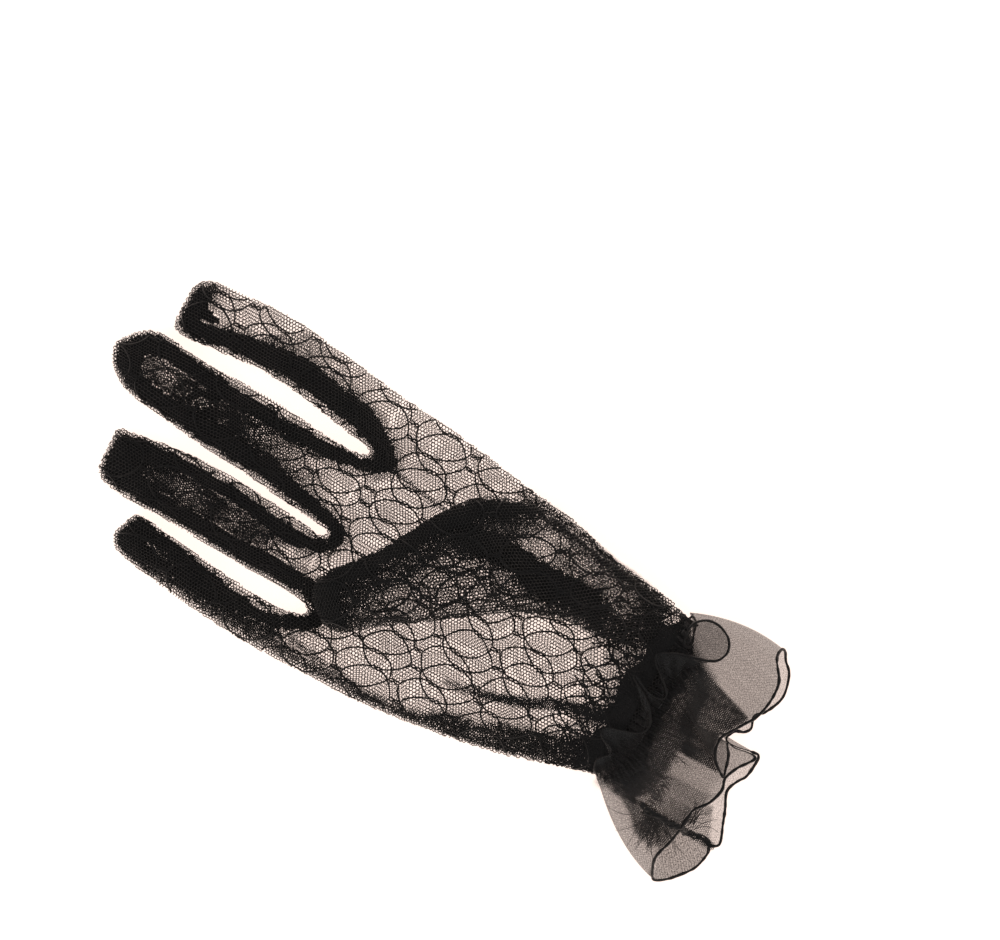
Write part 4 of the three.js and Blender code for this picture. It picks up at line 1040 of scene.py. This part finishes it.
def hemPath(top, under, count):
    # the hem as a closed curve: half of the places lie on the top run, half on the run below
    line = spline(np.array(top + under), 0.35, closed=True)
    first = np.argmin(np.linalg.norm(line - np.array(under[0]), axis=1))
    share = np.arange(count) / count
    place = np.where(share < 0.5, share * 2 * first, first + (share - 0.5) * 2 * (len(line) - first))
    low = np.floor(place).astype(int)
    t = (place - low)[:, None]
    return line[low % len(line)] * (1 - t) + line[(low + 1) % len(line)] * t


def organzaNet(top, under, t, bulge, rise, seed):
    # straight runs from the gather line to the hem, with a bulge t (1 - t) outwards and upwards between them
    # and small pleats, a sine round the wrist that fades from the gather line
    count = organza["columns"]
    share = np.arange(count) / count
    gx, gz = wristRing(share, organza["halfWidth"], organza["low"], organza["high"])
    sideRise = organza["sideRise"] * (np.abs(gx) / organza["halfWidth"]) ** organza["sidePower"]
    gy = organza["gatherAt"] + sideRise
    gather, edge = np.stack([gx, gy, gz], axis=-1), hemPath(top, under, count)
    points = gather * (1 - t[:, None, None]) + edge * t[:, None, None]
    t = t[:, None]
    arc = t * (1 - t)
    sideways = gx / organza["halfWidth"]
    sided = np.where(sideways < 0, organza["leftBulge"], organza["rightBulge"])
    points[..., 0] += bulge * sided * arc * sideways * sideways**2
    points[..., 2] += rise * arc * (gz > organza["liftedFrom"])
    wander = organza["pleatWander"] * waves(share * 50, 0 * share, 8, seed)
    pleat = np.sin(tau * organza["pleats"] * share + wander)
    fade = organza["pleatLeast"] + np.exp(-t / organza["pleatReach"])
    fade = organza["pleatDepth"] * fade * (1 - t) ** 0.5
    points[..., 2] += pleat * fade
    points[..., 1] += organza["pleatLean"] * pleat * fade
    points[..., 2] = np.maximum(points[..., 2], organza["floor"])
    return points


def organzaMaterial():
    # sheer plain weave: the cover of warp and weft, thinner and thicker in long streaks down the folds,
    # and close where the cloth stands steep; painted shade darkens its colour towards the gather line
    g = Graph("organza")
    cloth = g.attribute("cloth")
    u, v = g.axis(cloth, 0), g.axis(cloth, 1)
    weave = 0.5 + 0.25 * (u * organza["threads"]).sin() + 0.25 * (v * organza["threads"]).sin()
    drift = g.noise(g.place(), organza["mottle"], 3.0, 0.55)
    along = g.node("ShaderNodeCombineXYZ", {}, {"X": u * 0.35, "Y": v * 0.035})
    streak = g.noise(along, 1.0, 3.0, 0.6)
    slub = g.noise(cloth, 2.1, 2.0, 0.6)
    twill = ((u + 0.8 * v) * 6.5 + 5.0 * slub).sin()
    cover = organza["cover"] + 0.04 * (weave - 0.5) + 0.1 * (drift - 0.5) + 0.15 * (streak - 0.5)
    cover = cover + 1.1 * (slub - 0.5) + 0.06 * twill + organza["steepCover"] * g.attribute("steep", "Fac")
    colour = g.blend(g.spread(drift, 0.35, 0.65), organza["dark"], organza["light"])
    return g.feed({
        # painted shade: the colour darkens from 12 mm down the cloth to the gather line, and stays dark over
        # the heading
        "Base Color": g.blend(g.spread(v, 12.0, 4.0), colour, organza["gathered"]),
        "Alpha": cover, "Roughness": 0.42 + 0.15 * (drift - 0.5),
        "Normal": g.bump(weave, organza["relief"], 0.5), "Sheen Weight": 0.3, "Sheen Roughness": 0.35,
    })


def markSteep(piece, points):
    # 1 inside the lobe's outline on the half of the strip that runs below, 0 elsewhere
    inside = smooth(depthInside(np.array(leftLobe, float)), -0.4, 1.2)
    steep = sample(inside, points[..., 0], points[..., 1])
    steep = steep * (np.arange(points.shape[1]) > points.shape[1] / 2)
    values = piece.data.attributes.new("steep", "FLOAT", "POINT").data
    values.foreach_set("value", steep.ravel().astype(np.float32))


rows, headingRows = organza["rows"], organza["headingRows"]
ruffleNet = organzaNet(ruffleTop, ruffleUnder, np.linspace(0, 1, rows), bulge=9, rise=5, seed=71)
headingShares = np.linspace(0, 1, headingRows + 1)[1:]
headingNet = organzaNet(headingTop, headingUnder, headingShares, bulge=2, rise=2.5, seed=72)
strip = np.concatenate([headingNet[::-1], ruffleNet])
stripDown = np.concatenate([
    np.linspace(*organza["headingCloth"], headingRows), np.linspace(*organza["cloth"], rows),
])
ruffle = addRing("organza_strip", strip, organza["pitch"], stripDown, organzaMaterial(),
                 ["organza_ruffle"])
markSteep(ruffle, strip)


# Rolled hems: lumpy tubes of thread just past the cloth's edge
hem = {
    "spacing": 0.45, "sides": 8, "past": 0.6, "shortLumps": 0.16, "longLumps": 0.14, "thinFrom": (17, 13),
    # one steep fold, at this x and between these two runs of y, where the hem turns under
    "foldX": 0.4, "foldHalf": (1.7, 1.0), "foldFrom": (-101.4, -102.8), "foldTo": (-111.4, -110),
    # the last two pairs of the next line bound a painted highlight on the heading hem's rim over the dark
    # gathers; its colour is the last one on the line after
    "foldThin": 0.6, "highlightX": (0.017, 0.0135), "highlightY": (-0.09, -0.086),
    "dark": rgb(0.004, 0.0034, 0.0032), "light": rgb(0.02, 0.016, 0.015), "paintedHighlight": rgb(0.021, 0.018, 0.017),
    "turns": (14.0, 2.0), "fibre": 3500.0, "relief": 0.0001,
}


def hemMaterial():
    # close turns of thread wound round the rolled edge, with a painted highlight that makes the rim paler
    # where it lies on the dark gathers
    g = Graph("rolled_hem")
    cloth, place = g.attribute("cloth"), g.place()
    alongHem, roundHem = hem["turns"]
    turns = (g.axis(cloth, 0) * alongHem + g.axis(cloth, 1) * roundHem).sin()
    fine = g.noise(place, hem["fibre"], 2.0, 0.6)
    colour = g.blend(g.spread(0.5 * fine + 0.25 * turns + 0.25, 0.3, 0.75), hem["dark"], hem["light"])
    # painted highlight: the rim is drawn paler where x is below 13.5 mm and y above -86 mm, where the
    # heading's hem lies on the dark gathers
    highlightShare = g.spread(g.axis(place, 0), *hem["highlightX"]) * g.spread(g.axis(place, 1), *hem["highlightY"])
    return g.feed({
        "Base Color": g.blend(highlightShare, colour, hem["paintedHighlight"]), "Roughness": 0.5 + 0.15 * turns,
        "Normal": g.bump(0.5 + 0.5 * turns + 0.3 * fine, hem["relief"], 0.8),
    })


hemLook = hemMaterial()


def rolledHem(name, cloth, radius, thinner, replaced):
    # every third place of the cloth's last row, moved outwards, with a tube along it whose radius waves
    edge, inside = cloth[-1][::3], cloth[-3][::3]
    line = spline(edge + unit(edge - inside) * radius * hem["past"], hem["spacing"], closed=True)
    line[:, 2] = np.maximum(line[:, 2], radius)
    far = np.arange(len(line)) * hem["spacing"]
    thick = radius * (
        1 + hem["shortLumps"] * waves(far, 0 * far, 2.4, 81) + hem["longLumps"] * waves(far, 0 * far, 9, 82)
    )
    thick = thick * (1 - thinner * smooth(line[:, 0], *hem["thinFrom"]))
    turned = smooth(line[:, 1], *hem["foldFrom"]) * smooth(line[:, 1], *hem["foldTo"])
    turned = turned * smooth(np.abs(line[:, 0] - hem["foldX"]), *hem["foldHalf"])
    thick = thick * (1 - hem["foldThin"] * turned)
    sides = hem["sides"]
    uv = np.column_stack([np.repeat(far, sides), np.tile(np.arange(sides) / sides * tau, len(line))])
    tube = tubes(line[None], thick[None], sides, closed=True)
    return addPiece(name, [tube], hemLook, [replaced], uv, True)


ruffleHem = rolledHem("ruffle_hem", ruffleNet, radius=0.44, thinner=0, replaced="ruffle_rolled_edge")
headingHem = rolledHem("heading_hem", headingNet, radius=0.4, thinner=0.4, replaced="heading_rolled_edge")


# Where the strip's ends are joined: a lumpy seam from the gathers to the hem
join = {
    "path": [
        (-28.6, -88, 13.9), (-29.2, -95, 13.8), (-29.0, -101.6, 13.2), (-29.6, -105, 8.4), (-29.0, -109, 3.6),
        (-29.6, -113.4, 1.9),
    ],
    # how far each thread lies to the side, where its turns start, and its radius
    "threads": [(0.0, 0.0, 0.42), (0.55, 0.3, 0.3), (-0.5, 0.6, 0.34), (0.1, 1.2, 0.36)],
    "spacing": 0.4, "winding": 0.9, "lumps": 0.25, "aside": 0.4, "wobble": 0.25, "lift": 0.3,
    "sides": 6, "floor": 0.05,
}


def stripJoin():
    # threads wound loosely round one line: sines to the side and up, with waves on them
    line = spline(join["path"], join["spacing"])
    far = np.arange(len(line)) * join["spacing"]
    lumps = 1 + join["lumps"] * waves(far, 0 * far, 2, 97)
    parts = []
    for shift, start, radius in join["threads"]:
        angle = far * join["winding"] + start * 3
        wobble = join["wobble"] * waves(far, 0 * far, 3, int(90 + 10 * start))
        aside = shift + join["aside"] * np.sin(angle) + wobble
        wound = line + np.stack([aside, 0 * far, join["lift"] * np.cos(angle)], axis=-1)
        points, faces = tubes(wound[None], (radius * lumps)[None], join["sides"])
        points[:, 2] = np.maximum(points[:, 2], join["floor"])
        parts.append((points, faces))
    return addPiece("strip_join", parts, gimpMaterial, smoothShade=True)


stripJoin()
report("organza and its hems")


# The lace's own end inside the ruffle: how much each zone covers, how softly it ends, and its outline
tailZones = [
    (0.995, 2.0, [
        (-29.6, -74), (-29.2, -86), (-25, -91.4), (-17, -91.6), (-9.6, -91.2), (0, -91), (10, -92),
        (15.2, -89.4), (18, -84), (19.8, -80.4), (23, -77.4), (25.5, -74),
    ]),
    (0.965, 0.5, [
        (-9.7, -84), (-9.5, -104.5), (-7, -102.5), (-4, -100), (-0.6, -99), (1.4, -99.4), (4, -101.4),
        (8, -103.8), (9.8, -104), (12.2, -96), (16.4, -84),
    ]),
    (0.3, 0.9, [(-16.6, -88), (-16.6, -104), (-9.6, -106), (-9.6, -88)]),
    (0.64, 1.2, [(-22.4, -88), (-22.4, -104), (-16.0, -106), (-16.0, -88)]),
    (0.74, 1.2, [(-29.4, -88), (-29.4, -104), (-21.6, -104), (-21.6, -88)]),
    (0.84, 1.0, [
        (-29, -80), (-33.0, -87), (-37.6, -91.5), (-38.6, -97), (-36.6, -101), (-33, -101.4), (-29, -103),
    ]),
    (0.58, 0.5, [(-29, -103), (-20.6, -103.4), (-18.6, -107.6), (-28, -112)]),
]
tailSeam = [
    (-28.8, -80, 2.4, 0.98), (-28.8, -95, 2.2, 0.97), (-29.2, -104, 2.0, 0.97), (-29.4, -113, 2.2, 0.97),
]
# its two layers' heights and how they share the cover, its streaks, folds and ripple, its length in metres
tail = {
    "levels": (2.4, 8.8), "under": 0.14, "streak": 0.04, "most": 0.99, "foldDepth": 0.25, "foldTurn": 0.9,
    "foldFrom": (-100, -84), "ripple": 0.15, "length": 0.12,
}


def tailMap():
    # dense at the elastic, thinner in its long folds, with fine streaks down them
    streak = waves(mapX * 1.9, mapY * 0.28, 5, 92)
    cover = np.zeros(mapX.shape)
    for amount, fade, outline in tailZones:
        cover = np.maximum(cover, amount * smooth(depthInside(np.array(outline, float)), -fade, fade))
    cover = cover * (1 + tail["streak"] * streak * smooth(mapY, -86, -94))
    return np.clip(np.maximum(cover, pathDensity(tailSeam, soft=0.5, ragged=0.2)), 0, tail["most"])


def tailAt(level):
    # the level with a sine across it that fades away from the elastic, and a ripple
    def height(x, y):
        folds = tail["foldDepth"] * np.sin(x * tail["foldTurn"] + waves(x, y, 12, 93))
        return level + folds * smooth(y, *tail["foldFrom"]) + tail["ripple"] * waves(x, y, 7, 94)
    return height


frayed = {
    # x, y of the root, its spread, direction in turns, spread of that, length, count, lowest height
    "groups": {
        "fan": (-28.8, -93, (0.6, 3.6), 0.56, 0.06, 11.0, 60, 3.0),
        "low": (-28.4, -104, (1.5, 2.6), 0.97, 0.05, 8.0, 26, 3.0),
        "left": (-23.0, -90.5, (5.0, 1.0), 0.74, 0.06, 3.4, 60, 3.0),
        "right": (-4, -91, (9.0, 2.0), 0.76, 0.05, 4.0, 30, 3.0),
        "tangle": (0.2, -96.6, (0.6, 1.0), 0.75, 0.1, 4.6, 12, 9.4),
    },
    "radius": 0.115, "curl": 0.6, "seed": 611, "layer": 5.6, "steps": 8,
}


def frayedThreads():
    # loose ends of the lace's threads: equal steps in a direction that bends evenly from root to end
    rng = np.random.default_rng(frayed["seed"])
    t = np.linspace(0, 1, frayed["steps"] + 1)[None, :]
    parts = []
    for x, y, spread, heading, turnSpread, length, count, lowest in frayed["groups"].values():
        root = np.array([x, y]) + rng.uniform(-1, 1, (count, 2)) * spread
        angle = tau * (heading + rng.normal(0, turnSpread, (count, 1)))
        angle = angle + frayed["curl"] * rng.normal(0, 1, (count, 1)) * t
        step = length * rng.uniform(0.45, 1.15, (count, 1)) / frayed["steps"]
        px = root[:, :1] + np.cumsum(np.cos(angle) * step, axis=1)
        py = root[:, 1:] + np.cumsum(np.sin(angle) * step, axis=1)
        pz = rng.uniform(lowest, lowest + frayed["layer"], (count, 1))
        pz = pz + 0.5 * rng.normal(0, 1, (count, 1)) * t
        taper = frayed["radius"] * (1.2 - 0.6 * t) * np.ones((count, 1))
        parts.append(tubes(np.stack([px, py, pz], axis=-1), taper, 3))
    addPiece("frayed_ends", parts, gimpMaterial)


frayedThreads()
tailLayers = doubled(tailMap(), *(tailAt(level) for level in tail["levels"]), tailFold, tail["under"])
foldedPiece("lace_end", tailLayers, 581, ["lace_hem"])
report("lace end")


# Floor, light and camera
studio = {
    "floorHalf": 3.0, "floorDark": rgb(0.86, 0.84, 0.82), "floorLight": rgb(0.88, 0.86, 0.84),
    "glow": rgb(1.0, 0.81, 0.72), "glowStrength": 1.12, "lampSize": 1.2, "world": 0.18,
    # place and power of each soft lamp, in metres and watts
    "lamps": {"softbox_left": ((-0.9, 0.5, 1.4), 4.5), "softbox_right": ((1.0, -0.4, 1.5), 3.5)},
}
# the camera looks straight down; right is the direction of the picture's right edge on the ground
view = {
    "x": 38.0, "y": -2.6, "height": 842.0, "rightX": 0.48945, "rightY": -0.87203,
    "lens": 100.0, "sensor": 36.0, "clip": (0.01, 20),
}


def addFloor():
    # a plain square with a faint grain, which glows so that it stays white
    half = studio["floorHalf"]
    mesh = bpy.data.meshes.new("floor")
    corners = [(-half, -half, 0), (half, -half, 0), (half, half, 0), (-half, half, 0)]
    mesh.from_pydata(corners, [], [(0, 1, 2, 3)])
    floor = bpy.data.objects.new("floor", mesh)
    bpy.context.scene.collection.objects.link(floor)
    g = Graph("floor")
    grain = g.noise(g.place(), 40.0, 2.0, 0.5)
    mesh.materials.append(g.feed({
        "Base Color": g.blend(grain, studio["floorDark"], studio["floorLight"]), "Roughness": 0.9,
        "Emission Color": studio["glow"], "Emission Strength": studio["glowStrength"],
    }))


def addLamp(name, place, power):
    # a round soft lamp that points at the middle of the glove
    lamp = bpy.data.lights.new(name, "AREA")
    lamp.shape, lamp.size, lamp.energy = "DISK", studio["lampSize"], power
    thing = bpy.data.objects.new(name, lamp)
    bpy.context.scene.collection.objects.link(thing)
    thing.location = place
    thing.rotation_mode = "QUATERNION"
    thing.rotation_quaternion = (-Vector(place)).to_track_quat("-Z", "Y")


def addCamera():
    camera = bpy.data.objects.new("camera", bpy.data.cameras.new("camera"))
    bpy.context.scene.collection.objects.link(camera)
    camera.data.lens, camera.data.sensor_width = view["lens"], view["sensor"]
    camera.data.clip_start, camera.data.clip_end = view["clip"]
    rightX, rightY = view["rightX"], view["rightY"]
    turn = Matrix(((rightX, -rightY, 0), (rightY, rightX, 0), (0, 0, 1)))
    camera.rotation_mode = "QUATERNION"
    camera.rotation_quaternion = turn.to_quaternion()
    camera.location = (view["x"] * mm, view["y"] * mm, view["height"] * mm)
    bpy.context.scene.camera = camera


addFloor()
for name, (place, power) in studio["lamps"].items():
    addLamp(name, place, power)
world = bpy.data.worlds.new("studio")
world.use_nodes = True
world.node_tree.nodes["Background"].inputs["Color"].default_value = rgb(1.0, 1.0, 1.0)
world.node_tree.nodes["Background"].inputs["Strength"].default_value = studio["world"]
bpy.context.scene.world = world
addCamera()
bpy.context.scene.view_settings.view_transform = "Standard"
report("studio")
